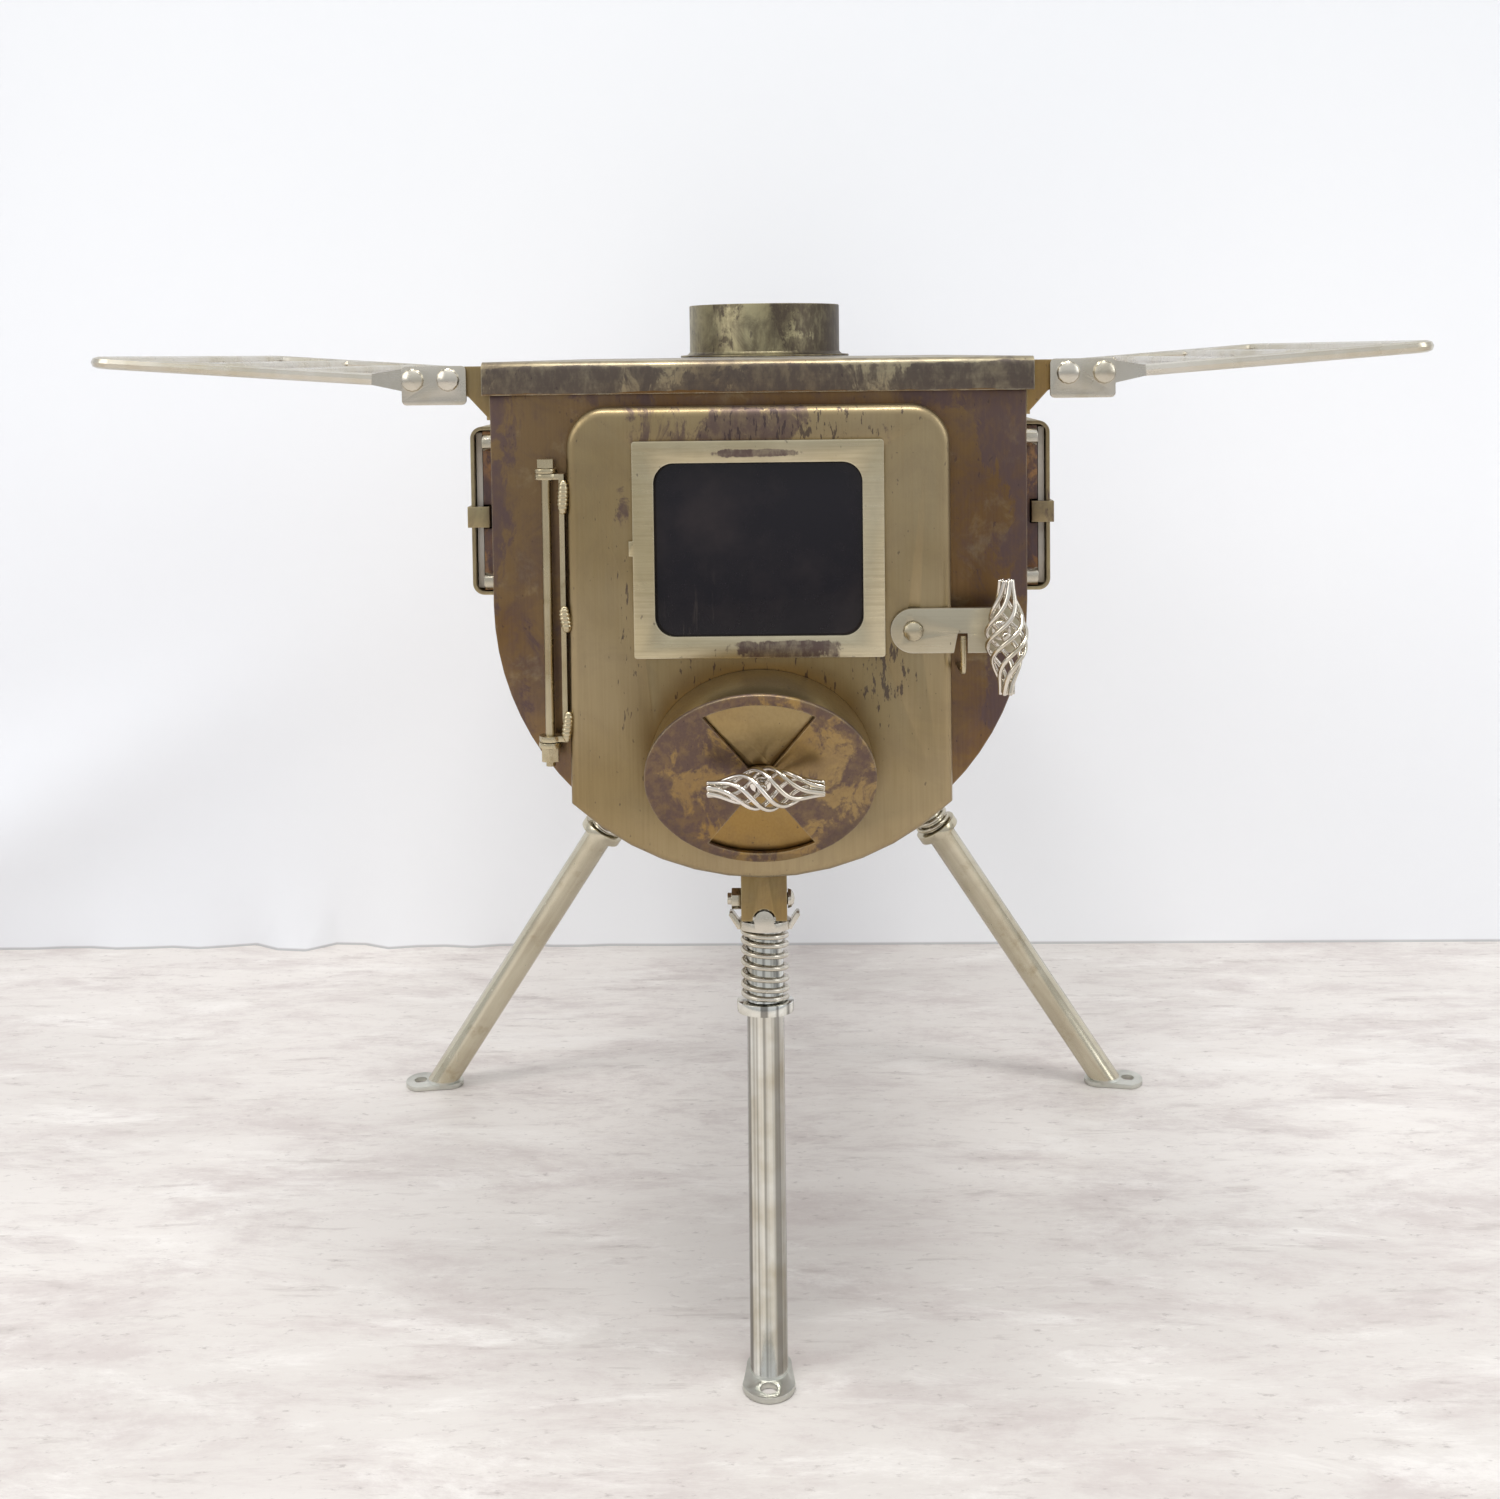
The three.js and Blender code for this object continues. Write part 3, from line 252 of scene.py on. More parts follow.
def polished_steel(
    name, colour, roughness, tint=WARM_SILVER, grain=ALONG_Z, streaks=0.0, stain=0.0, foot=False
):
    """Bright stainless wire or tube, with fine scratches and a faint warm film.

    streaks is how strong the dark painted reflection bands along the front leg are, and stain how
    strong the heat's stains are. Where foot is set, the plate at the floor is paler and dull.
    """
    g = Graph(name)
    x, y, z = g.axes
    film = g.noise(24, detail=4, rough=0.6)
    shade = g.mix(g.fit(film, 0.35, 0.75), colour, tint)

    # Dark upright bands along the leaning front leg: painted reflection of the room in the
    # polished tube.
    upright = g.less(y, g.times(z, FRONT_LEG_LEAN))
    straight = g.add("ShaderNodeCombineXYZ", {0: x, 1: upright, 2: g.times(z, 0.004)}).outputs[0]
    inputs = {"Vector": straight, "Scale": 210, "Detail": 3}
    painted_reflection_bands = g.add("ShaderNodeTexNoise", inputs).outputs[0]
    shade = g.mix(g.fit(painted_reflection_bands, 0.47, 0.62, 0.0, streaks), shade, REFLECTION_BAND_DARK)
    stains = g.noise(60, detail=7, rough=0.7, shift=6)
    shade = g.mix(g.fit(stains, 0.55, 0.72, 0.0, stain), shade, OLIVE)

    scratches = g.noise(800, grain, detail=3, rough=0.6)
    smear = g.noise(60, detail=4, shift=2)
    rough = g.fit(smear, 0.3, 0.7, roughness, roughness + 0.07)
    rough = g.total(rough, g.fit(scratches, 0.55, 0.75, 0, 0.05))
    if foot:
        low = g.fit(z, *FOOT_TOP, 1, 0)
        shade = g.mix(low, shade, g.mix(g.fit(smear, 0.3, 0.7), FOOT_PALE, FOOT_DULL))
        rough = g.total(rough, g.times(low, 0.24))
    return g.finish(shade, rough, 1.0, g.relief(scratches, 0.3, 0.00008))


# Where each sheet is tinted. Places are in metres in the row frame.


def door_heat(g):
    """The door's darker tint: a band over the window, and a patch at each side of it."""
    x, _, z = g.axes
    over = g.times(g.fit(z, 0.386, 0.394), g.near(x, -0.012, 0.095))
    right = g.times(g.near(x, 0.045, 0.03), g.fit(z, 0.385, 0.392), 0.6)
    left = g.times(g.near(x, -0.054, 0.01), g.near(z, 0.37, 0.03), 0.7)
    return g.times(g.less(g.most(over, right, left), 0.3), 1.5)


def door_drips(g):
    """Drips under the window's frame, at its right and left, and over its top."""
    x, _, z = g.axes
    under = g.times(g.near(z, 0.298, 0.022), g.near(x, 0.0, 0.075))
    right = g.times(g.near(x, 0.05, 0.02), g.near(z, 0.30, 0.03), 1.3)
    over = g.times(g.fit(z, 0.387, 0.394), g.near(x, 0.01, 0.08))
    left = g.times(g.near(x, -0.053, 0.01), g.near(z, 0.31, 0.07), 0.8)
    return g.most(under, right, over, left)


def edge_heat(g):
    """Darker towards the front panel's rim and upper corners."""
    x, _, z = g.axes
    side = g.fit(g.size_of(x), 0.078, 0.108)
    corner = g.times(side, g.fit(z, 0.33, 0.41, 0.55, 1.1))
    top = g.fit(z, 0.398, 0.41, 0, 0.5)
    return g.less(g.most(corner, top), 0.35)


def body_heat(g):
    """Darker towards the firebox's front and back rims."""
    front = g.fit(g.axes[1], -0.16, -0.11, 1, 0)
    back = g.fit(g.axes[1], 0.15, 0.22)
    return g.less(g.most(front, back), 0.4)


def frame_heat(g):
    """The window frame's stained strips: its top and the middle of its bottom."""
    x, _, z = g.axes
    low = g.times(g.fit(z, 0.3125, 0.3165, 1, 0), g.near(x, 0.008, 0.05))
    high = g.times(g.near(z, 0.3885, 0.0035), g.near(x, -0.002, 0.045))
    return g.times(g.less(g.most(low, high), 0.25), 1.3)


def lip_hem(g):
    """The lip's lower edge looks uneven: it is burnt to rust in long steps."""
    steps = g.noise(26, (1, 1, 0.0), detail=5, rough=0.6, shift=21)
    return g.fit(g.total(g.axes[2], g.times(steps, -0.006)), 0.4096, 0.4099, 1, 0)


def lip_heat(g):
    """The top plate is darkest on its turned-down lip and round the flue."""
    x, y, z = g.axes
    lip = g.fit(z, 0.4225, 0.4245, 1, 0)
    flue = g.times(g.near(x, 0.0, 0.12), g.near(y, 0.153, 0.13), 0.8)
    return g.less(g.most(lip, flue), 0.45)


def flue_heat(g):
    """The collar is darkest at its right side and mottled elsewhere."""
    return g.less(g.fit(g.axes[0], 0.0, 0.04, 0.2, 1.0), 0.5)


DISC_HEIGHT = 0.264
DISC_HALF_WIDTH, DISC_HALF_HEIGHT = 0.045, 0.0385


def disc_heat(g):
    """The damper's disc is darkest round its rim and under the handle's foot."""
    x, _, z = g.axes
    along = g.math("POWER", g.times(x, 1 / DISC_HALF_WIDTH), 2.0)
    up = g.math("POWER", g.times(g.less(z, DISC_HEIGHT), 1 / DISC_HALF_HEIGHT), 2.0)
    rim = g.fit(g.math("SQRT", g.total(along, up)), 0.7, 1.0, 0.0, 0.3)
    foot = g.times(g.near(z, 0.252, 0.014), g.near(x, 0.0, 0.03), 0.9)
    return g.less(g.most(rim, foot), 0.4)


SOOT_DARK, SOOT_PALE, LOW_STREAK_PALE = linear(20, 17, 23), linear(38, 32, 34), linear(96, 86, 78)
GROUND_PALE, GROUND_DULL = linear(226, 220, 208), linear(190, 178, 160)


def glass(name, rim=False):
    """A sooty pane: nearly black, with faint paler upright streaks low down.

    Where rim is set, the edges that face away from the pane's two broad sides are pale and ground.
    """
    g = Graph(name)
    soot = g.noise(24, detail=6, rough=0.6)
    colour = g.mix(g.fit(soot, 0.4, 0.7), SOOT_DARK, SOOT_PALE)
    # Paler upright streaks low down, a little left of the pane's middle.
    low_streak_noise = g.noise(300, (1, 1, 0.1), detail=4, rough=0.6, warp=0.3)
    lower = g.times(g.fit(g.axes[2], 0.31, 0.35, 1, 0), g.near(g.axes[0], -0.02, 0.03))
    colour = g.mix(g.times(g.fit(low_streak_noise, 0.55, 0.7, 0, 0.35), lower), colour, LOW_STREAK_PALE)
    if rim:
        facing = g.add("ShaderNodeSeparateXYZ", {0: g.normal()}).outputs
        ground = g.mix(g.fit(soot, 0.4, 0.7), GROUND_PALE, GROUND_DULL)
        colour = g.mix(g.fit(g.size_of(facing[0]), 0.3, 0.5, 1, 0), colour, ground)
    smears = g.noise(90, (1, 1, 0.3), detail=5)
    g.feed(g.shader.inputs["Specular IOR Level"], 0.3)
    return g.finish(colour, g.fit(smears, 0.4, 0.7, 0.05, 0.14), 0.0)


def soot():
    """Plate inside the fire: scorched, gritty and dull."""
    g = Graph("scorched_plate")
    cloud = g.noise(30, detail=8, rough=0.7)
    colour = g.mix(g.fit(cloud, 0.35, 0.7), linear(42, 36, 32), linear(86, 70, 54))
    grit = g.noise(500, detail=4)
    return g.finish(colour, g.fit(cloud, 0.3, 0.7, 0.6, 0.85), 0.7, g.relief(grit, 0.5, 0.0003))


LOOKS = {
    "body": tinted_steel(
        "body_sheet", BROWN, RUST, PURPLE, 0.13,
        where=body_heat, shift=4.0, edge=KHAKI, clouds=0.5,
    ),
    "panel": tinted_steel(
        "front_panel_sheet", BROWN, RUST, PURPLE, 0.14,
        where=edge_heat, edge=KHAKI, clouds=0.55,
    ),
    "lip": tinted_steel(
        "top_plate_sheet", linear(176, 166, 138), linear(150, 132, 104), SLATE, 0.1, ALONG_X,
        where=lip_heat, shift=9.0, strength=0.92, edge=linear(214, 206, 178), clouds=0.7,
        size=0.6, hem=lip_hem,
    ),
    "flue": tinted_steel(
        "flue_sheet", linear(176, 168, 134), linear(122, 112, 84), linear(76, 67, 60), 0.19,
        where=flue_heat, shift=14.0, edge=STRAW, clouds=0.7, size=0.9, strength=0.9,
    ),
    "door": tinted_steel(
        "door_sheet", linear(166, 149, 116), OLIVE, PURPLE, 0.035,
        where=door_heat, drip=door_drips, shift=2.2, edge=STRAW, clouds=0.12,
    ),
    "frame": tinted_steel(
        "window_frame_sheet", linear(211, 201, 172), STRAW, PURPLE, 0.03, ALONG_X, 0.3,
        where=frame_heat, shift=3.1, strength=0.92, edge=linear(222, 214, 190), clouds=0.1,
        brushing=0.5,
    ),
    "disc": tinted_steel(
        "damper_disc_sheet", linear(160, 136, 94), GOLD, PURPLE, 0.165,
        where=disc_heat, shift=1.7, edge=STRAW, clouds=0.3,
    ),
    "housing": tinted_steel(
        "damper_housing_sheet", linear(162, 143, 104), GOLD, PURPLE, 0.03,
        shift=5.0, edge=STRAW, clouds=0.2,
    ),
    "side": tinted_steel(
        "side_window_sheet", linear(170, 158, 124), OLIVE, PURPLE, 0.06, shift=6.0, edge=STRAW
    ),
    "seat": tinted_steel(
        "side_window_seat_sheet", linear(170, 132, 92), linear(134, 100, 70),
        linear(92, 80, 84), 0.15, shift=6.6, roughness=0.5,
    ),
    "bracket": tinted_steel(
        "leg_bracket_sheet", OLIVE, GOLD, PURPLE, 0.03, shift=8.0, edge=STRAW, clouds=0.25
    ),
    "latch": tinted_steel(
        "latch_bar_sheet", linear(190, 182, 160), KHAKI, OLIVE, 0.02, ALONG_X, 0.3,
        shift=12.0, edge=SILVER, clouds=0.1,
    ),
    "hinge": polished_steel("hinge_steel", linear(196, 184, 154), 0.24, tint=KHAKI, stain=0.6),
    "wire": polished_steel("handle_wire", linear(232, 226, 218), 0.08),
    "satin": polished_steel("shelf_steel", SILVER, 0.22, grain=ALONG_X, stain=0.3),
    "leg": polished_steel("front_leg_steel", linear(236, 238, 234), 0.08, streaks=0.75, foot=True),
    "rear_leg": polished_steel(
        "rear_leg_steel", linear(208, 201, 180), 0.18, stain=0.45, foot=True
    ),
    "soot": soot(),
    "glass": glass("sooty_glass"),
    "side_glass": glass("side_glass", rim=True),
}

# The look of each CAD node, by how its name starts; the first that fits is taken.
LOOK_OF = [
    ("body_shell", "body"),
    ("back_panel", "body"),
    ("front_panel", "panel"),
    ("top_plate", "lip"),
    ("flue_collar", "flue"),
    ("baffle_plate", "soot"),
    ("fire_grate", "soot"),
    ("door_glass_retainer", "soot"),
    ("door_glass", "glass"),
    ("side_window_glass", "side_glass"),
    ("side_window_seat", "seat"),
    ("side_window", "side"),
    ("door_window_frame", "frame"),
    ("door_hinge_leaf", "hinge"),
    ("door_pan", "door"),
    ("hinge_", "hinge"),
    ("damper_housing", "housing"),
    ("damper_disc", "disc"),
    ("damper_", "wire"),
    ("latch_handle", "wire"),
    ("latch_hook", "hinge"),
    ("latch_", "latch"),
    ("shelf_bracket", "bracket"),
    ("shelf_", "satin"),
    ("leg_bracket", "bracket"),
    ("leg_tube_front", "leg"),
    ("leg_tube", "rear_leg"),
    ("leg_", "satin"),
]

# ---------------------------------------------------------------- edges of the CAD nodes

SMOOTH_BELOW = math.radians(32)  # faces that meet at a smaller angle are shaded as one
ROUND_ABOVE = math.radians(38)  # edges that turn by more are rounded
EDGE_ROUNDING = 0.0003
WELD_DISTANCE = 0.00001


def smooth_group():
    """Shades smoothly where faces meet at a slight angle, and keeps real edges sharp."""
    group = bpy.data.node_groups.new("smooth_by_angle", "GeometryNodeTree")
    for side in ("INPUT", "OUTPUT"):
        group.interface.new_socket("Geometry", in_out=side, socket_type="NodeSocketGeometry")
    nodes, links = group.nodes, group.links
    start, end = nodes.new("NodeGroupInput"), nodes.new("NodeGroupOutput")
    angle = nodes.new("GeometryNodeInputMeshEdgeAngle")
    sharp = nodes.new("FunctionNodeCompare")
    sharp.operation = "GREATER_THAN"
    sharp.inputs[1].default_value = SMOOTH_BELOW
    faces, edges = (nodes.new("GeometryNodeSetShadeSmooth") for _ in range(2))
    edges.domain = "EDGE"
    edges.inputs["Shade Smooth"].default_value = False
    links.new(start.outputs[0], faces.inputs[0])
    links.new(faces.outputs[0], edges.inputs[0])
    links.new(angle.outputs[0], sharp.inputs[0])
    links.new(sharp.outputs[0], edges.inputs["Selection"])
    links.new(edges.outputs[0], end.inputs[0])
    return group


SMOOTH = smooth_group()
UNBEVELLED = ("leg_spring", "damper_handle", "latch_handle", "shelf_rack", "hinge_rod")


def soften(obj, width):
    """Rounds real edges a little and shades the rest smoothly. The mesh itself stays as packed."""
    weld = obj.modifiers.new("weld", "WELD")
    weld.merge_threshold = WELD_DISTANCE
    if width > 0:
        bevel = obj.modifiers.new("bevel", "BEVEL")
        bevel.width = width
        bevel.segments = 2
        bevel.limit_method = "ANGLE"
        bevel.angle_limit = ROUND_ABOVE
    obj.modifiers.new("smooth", "NODES").node_group = SMOOTH


def dress_nodes():
    for name, obj in NODES.items():
        look = next(look for start, look in LOOK_OF if name.startswith(start))
        obj.data.materials.clear()
        obj.data.materials.append(LOOKS[look])
        soften(obj, 0 if name.startswith(UNBEVELLED) else EDGE_ROUNDING)


dress_nodes()

# ---------------------------------------------------------------- helpers for new pieces

UP, RIGHT, FRONT = Vector((0, 0, 1)), Vector((1, 0, 0)), Vector((0, -1, 0))
FULL_TURN = 2 * math.pi


def circle(sides):
    """The cosine and sine of each of so many even steps round a full turn."""
    turns = [FULL_TURN * side / sides for side in range(sides)]
    return [(math.cos(turn), math.sin(turn)) for turn in turns]


def wall(shape, loops, smooth=True):
    """Quads between closed loops of vertices, each joined to the next."""
    for low, high in zip(loops, loops[1:]):
        for i in range(len(low)):
            j = (i + 1) % len(low)
            shape.faces.new((low[i], low[j], high[j], high[i])).smooth = smooth


def close_ends(shape, loops):
    shape.faces.new(loops[0][::-1])
    shape.faces.new(loops[-1])


WIRE_SIDES = 12
CAP_SHARES = (0.45, 0.8)  # how far out along a rounded end its two rings lie
CAP_LENGTH = 0.7  # of the bar's radius


def cap_rings(ring, outward):
    """Two narrowing rings that round one end of a bar."""
    point, radius, right, up = ring
    rings = []
    for share in CAP_SHARES:
        middle = point + outward * (radius * CAP_LENGTH * share)
        rings.append((middle, radius * math.sqrt(1 - share * share), right, up))
    return rings


def sweep(shape, path, radius):
    """A round bar along the points of path, rounded at both ends, added to a bmesh."""
    last = len(path) - 1
    ahead = [
        (path[min(i + 1, last)] - path[max(i - 1, 0)]).normalized() for i in range(len(path))
    ]
    across = ahead[0].orthogonal().normalized()
    rings = []
    for point, direction in zip(path, ahead):
        across = (across - direction * across.dot(direction)).normalized()
        rings.append((point, radius, across.copy(), direction.cross(across)))
    first_cap, last_cap = cap_rings(rings[0], -ahead[0]), cap_rings(rings[-1], ahead[-1])
    loops = []
    for point, size, right, up in (*reversed(first_cap), *rings, *last_cap):
        ways = [right * c + up * s for c, s in circle(WIRE_SIDES)]
        loops.append([shape.verts.new(point + way * size) for way in ways])
    wall(shape, loops)
    close_ends(shape, loops)


def piece(name, shape, look, body, slot, *replaced):
    """Makes an object of a bmesh, hangs it on the empty of the body it rides on, and hides the
    parts it replaces; slot is not used.
    """
    bmesh.ops.recalc_face_normals(shape, faces=shape.faces)
    mesh = bpy.data.meshes.new(name)
    shape.to_mesh(mesh)
    shape.free()
    mesh.materials.append(LOOKS[look])
    obj = bpy.data.objects.new(name, mesh)
    bpy.context.scene.collection.objects.link(obj)
    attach(obj, body)
    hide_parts(*replaced)
    return obj


# ---------------------------------------------------------------- handles and springs

# Lengths and radii in millimetres. core is the short bar inside each end that joins the wires.
CAGE = {
    "length": 43.5, "middle": 7.7, "end": 2.3, "wire": 0.95, "wires": 6, "turns": 0.84,
    "ease": 0.3, "swell": 2.1, "steps": 56, "core": 1.9, "core_length": 4, "core_inset": 0.6,
}
DISC_TILT = math.radians(30.9)
NECK_RADIUS = 0.002
COLLAR_SIDES, COLLAR_ROUNDING = 32, 0.3


def cage(shape, centre, axis, start):
    """Wires that lie side by side at the ends and twist and swell in the middle."""
    third = axis.cross(start)
    for wire in range(CAGE["wires"]):
        path = []
        for step in range(CAGE["steps"] + 1):
            share = step / CAGE["steps"]
            swell = math.sin(math.pi * share) ** CAGE["swell"]
            radius = CAGE["end"] + (CAGE["middle"] - CAGE["end"]) * swell
            twist = share - CAGE["ease"] * math.sin(FULL_TURN * share) / FULL_TURN
            turn = FULL_TURN * (wire / CAGE["wires"] + CAGE["turns"] * twist)
            out = (start * math.cos(turn) + third * math.sin(turn)) * radius
            path.append(centre + (axis * (CAGE["length"] * (share - 0.5)) + out) / 1000)
        sweep(shape, path, CAGE["wire"] / 1000)
    reach = CAGE["length"] / 2 - CAGE["core_inset"]
    for side in (-1, 1):
        ends = (side * reach, side * (reach - CAGE["core_length"]))
        sweep(shape, [centre + axis * (end / 1000) for end in ends], CAGE["core"] / 1000)


def collar(shape, centre, axis, radius, thickness):
    """A washer with a rounded rim, as a turned profile about axis."""
    across = axis.orthogonal().normalized()
    third = axis.cross(across)
    inner, far = radius - COLLAR_ROUNDING, thickness - COLLAR_ROUNDING
    tips = [shape.verts.new(centre), shape.verts.new(centre + axis * (thickness / 1000))]
    loops = []
    for out, along in ((inner, 0.0), (radius, COLLAR_ROUNDING), (radius, far), (inner, thickness)):
        ways = [across * c + third * s for c, s in circle(COLLAR_SIDES)]
        loops.append([shape.verts.new(centre + (axis * along + way * out) / 1000) for way in ways])
    wall(shape, loops)
    for i in range(COLLAR_SIDES):
        j = (i + 1) % COLLAR_SIDES
        shape.faces.new((tips[0], loops[0][j], loops[0][i]))
        shape.faces.new((tips[1], loops[-1][i], loops[-1][j]))


def build_handles():
    """The twisted wire handles of the damper and the latch, each with its neck and washer."""
    normal = Vector((0, -math.cos(DISC_TILT), -math.sin(DISC_TILT)))
    disc_face = spot(0, -35.5, 264) + normal * 0.0017
    neck = [disc_face + normal * 0.0012, disc_face + normal * 0.004]
    shape = bmesh.new()
    cage(shape, spot(2.2, -48.5, 264), RIGHT, UP)
    collar(shape, disc_face, normal, 4.2, 1.4)
    sweep(shape, [*neck, spot(0.4, -44, 264), spot(0.8, -48.5, 264)], NECK_RADIUS)
    piece("damper_wire_handle", shape, "wire", "damper", "bright_steel", "damper_handle")

    shape = bmesh.new()
    cage(shape, spot(95.2, -30.5, 317.5), UP, -RIGHT)
    collar(shape, spot(95.2, -15.6, 317.5), FRONT, 3.8, 1.2)
    sweep(shape, [spot(95.2, y, 317.5) for y in (-16, -23, -30.5)], NECK_RADIUS)
    piece("latch_wire_handle", shape, "wire", "latch", "bright_steel", "latch_handle")


# Each leg's pivot, and where its axis meets the floor.
LEGS = {
    "front": ((0, 32, 194.6), (0, 8, 0)),
    "left": ((-72.2, 264, 191.8), (-195.7, 280, 0)),
    "right": ((72.2, 264, 191.8), (195.7, 280, 0)),
}
# top and bottom are how far down the leg from its pivot the spring begins and ends.
SPRING = {
    "top": 12.3, "bottom": 41.8, "radius": 9.3, "wire": 1.1, "turns": 6.5, "steps_a_turn": 30,
    "ease": 0.2,
}


def spring_path(pivot, up):
    """Round turns about the leg, close to level at both ends."""
    across = up.cross(Vector((0, 1, 0))).normalized()
    third = up.cross(across)
    steps = int(SPRING["turns"] * SPRING["steps_a_turn"])
    first = SPRING["top"] + SPRING["wire"]
    last = SPRING["bottom"] - SPRING["wire"]
    path = []
    for step in range(steps + 1):
        share = step / steps
        eased = share - SPRING["ease"] * math.sin(FULL_TURN * share) / FULL_TURN
        turn = FULL_TURN * SPRING["turns"] * share
        out = (across * math.cos(turn) + third * math.sin(turn)) * SPRING["radius"]
        path.append(pivot + (out - up * (first + (last - first) * eased)) / 1000)
    return path


def build_springs():
    """A round wire spring on each leg, on a mesh of its own; on the real stove the leg's lock
    squashes it against its lower end.
    """
    for name, (pivot, foot) in LEGS.items():
        top = spot(*pivot)
        up = (top - spot(*foot)).normalized()
        shape = bmesh.new()
        sweep(shape, spring_path(top, up), SPRING["wire"] / 1000)
        coil = piece(
            f"leg_coil_{name}", shape, "satin", f"leg_{name}", "bright_steel", f"leg_spring_{name}"
        )
        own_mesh(coil)


# ---------------------------------------------------------------- side windows and welds

# Outlines as (x, z) of the right side. The fascia runs from the wall to the pane, and its notch
# leaves room for the clip's inner leaf.
FASCIA = [
    (108.7, 328.0), (117.9, 328.0), (117.9, 354.4), (114.6, 354.4),
    (114.6, 364.6), (117.9, 364.6), (117.9, 396.0), (108.7, 396.0),
]
FASCIA_Y, FASCIA_THICKNESS = 36.0, 0.9
PANE = [(118.3, 328.6), (121.2, 328.6), (121.2, 395.4), (118.3, 395.4)]
PANE_Y, PANE_LENGTH = 38, 164.5
FASCIA_ROUNDING, PANE_ROUNDING = 0.0002, 0.0005
NUT = {"inner": 109.0, "outer": 117.4, "y": 33.6, "heights": (332.4, 391.2), "radius": 3.6}
NUT_BULGE, NUT_CORNER = 0.35, 0.93


def plate(shape, outline, way, front, length):
    """An upright plate that runs back from front: its outline is mirrored where way is -1."""
    sides = []
    for y in (front, front + length):
        sides.append([shape.verts.new(spot(way * x, y, z)) for x, z in outline])
    shape.faces.new(sides[0])
    shape.faces.new(sides[1][::-1])
    for i in range(len(outline)):
        j = (i + 1) % len(outline)
        shape.faces.new((sides[0][j], sides[0][i], sides[1][i], sides[1][j]))


def nut(shape, way, z):
    """A hexagon nut on its side, its axis along x, with rounded corners at both ends."""
    inner, outer, bulge = way * NUT["inner"], way * NUT["outer"], way * NUT_BULGE
    rims = ((inner, NUT_CORNER), (inner + bulge, 1), (outer - bulge, 1), (outer, NUT_CORNER))
    loops = []
    for x, share in rims:
        size = NUT["radius"] * share
        loop = []
        for side in range(6):
            turn = math.radians(30 + 60 * side)
            y = NUT["y"] + size * math.cos(turn)
            loop.append(shape.verts.new(spot(x, y, z + size * math.sin(turn))))
        loops.append(loop)
    wall(shape, loops, smooth=False)
    close_ends(shape, loops)


def build_side_details():
    """Each side's pane, the plate that closes its channel in front, and the two nuts before it."""
    for name, way in (("right", 1), ("left", -1)):
        shape = bmesh.new()
        plate(shape, FASCIA, way, FASCIA_Y, FASCIA_THICKNESS)
        obj = piece(f"side_window_fascia_{name}", shape, "seat", "firebox", "straw_tinted_steel")
        soften(obj, FASCIA_ROUNDING)
        shape = bmesh.new()
        plate(shape, PANE, way, PANE_Y, PANE_LENGTH)
        cad_pane = f"side_window_glass_{name}"
        obj = piece(f"side_pane_{name}", shape, "side_glass", "firebox", "window_glass", cad_pane)
        soften(obj, PANE_ROUNDING)
        shape = bmesh.new()
        for z in NUT["heights"]:
            nut(shape, way, z)
        obj = piece(f"side_window_nuts_{name}", shape, "satin", "firebox", "bright_steel")
        soften(obj, FASCIA_ROUNDING)


# The hinge leaf's weld beads: middle, half height, radius, ripples, and how far it bends aside.
BEADS = [
    ((-77.6, -10.6, 371.5), 7.2, 2.1, 9, 0.2),
    ((-77.4, -10.6, 322.6), 5.6, 2.2, 7, -0.5),
    ((-77.3, -10.4, 279.5), 6.4, 2.1, 8, 0.4),
]
BEAD_SIDES, BEAD_RINGS = 14, 30
BEAD_FLATNESS, BEAD_CURVE = 0.9, 2.2
RIPPLE_DEPTH = 0.1


def bead(shape, centre, half, radius, ripples, bend):
    """One weld bead: an upright lump with ripples, its ends pushed to either side by bend."""
    loops = []
    for ring in range(1, BEAD_RINGS):
        share = 2 * ring / BEAD_RINGS - 1
        ripple = 1 + RIPPLE_DEPTH * math.sin(ripples * math.pi * share)
        out = radius * math.sqrt(1 - abs(share) ** 3) * ripple
        middle = centre[0] + bend * math.sin(BEAD_CURVE * share)
        z = centre[2] + half * share
        loops.append([
            shape.verts.new(spot(middle + out * c, centre[1] + BEAD_FLATNESS * out * s, z))
            for c, s in circle(BEAD_SIDES)
        ])
    wall(shape, loops)
    close_ends(shape, loops)


def build_weld():
    shape = bmesh.new()
    for one in BEADS:
        bead(shape, *one)
    piece("door_hinge_weld", shape, "hinge", "door", "bright_steel")


build_handles()
build_springs()
build_side_details()
build_weld()

# ---------------------------------------------------------------- floor, backdrop and light


def grid_mesh(name, width, depth, columns, rows, point_of):
    """A sheet of quads over width and depth, each corner placed by point_of."""
    mesh = bpy.data.meshes.new(name)
    shape = bmesh.new()
    lines = []
    for row in range(rows + 1):
        v = depth[0] + (depth[1] - depth[0]) * row / rows
        line = []
        for column in range(columns + 1):
            u = width[0] + (width[1] - width[0]) * column / columns
            line.append(shape.verts.new(point_of(u, v)))
        lines.append(line)
    for low, high in zip(lines, lines[1:]):
        for i in range(columns):
            shape.faces.new((low[i], low[i + 1], high[i + 1], high[i])).smooth = True
    shape.to_mesh(mesh)
    shape.free()
    obj = bpy.data.objects.new(name, mesh)
    bpy.context.scene.collection.objects.link(obj)
    return obj


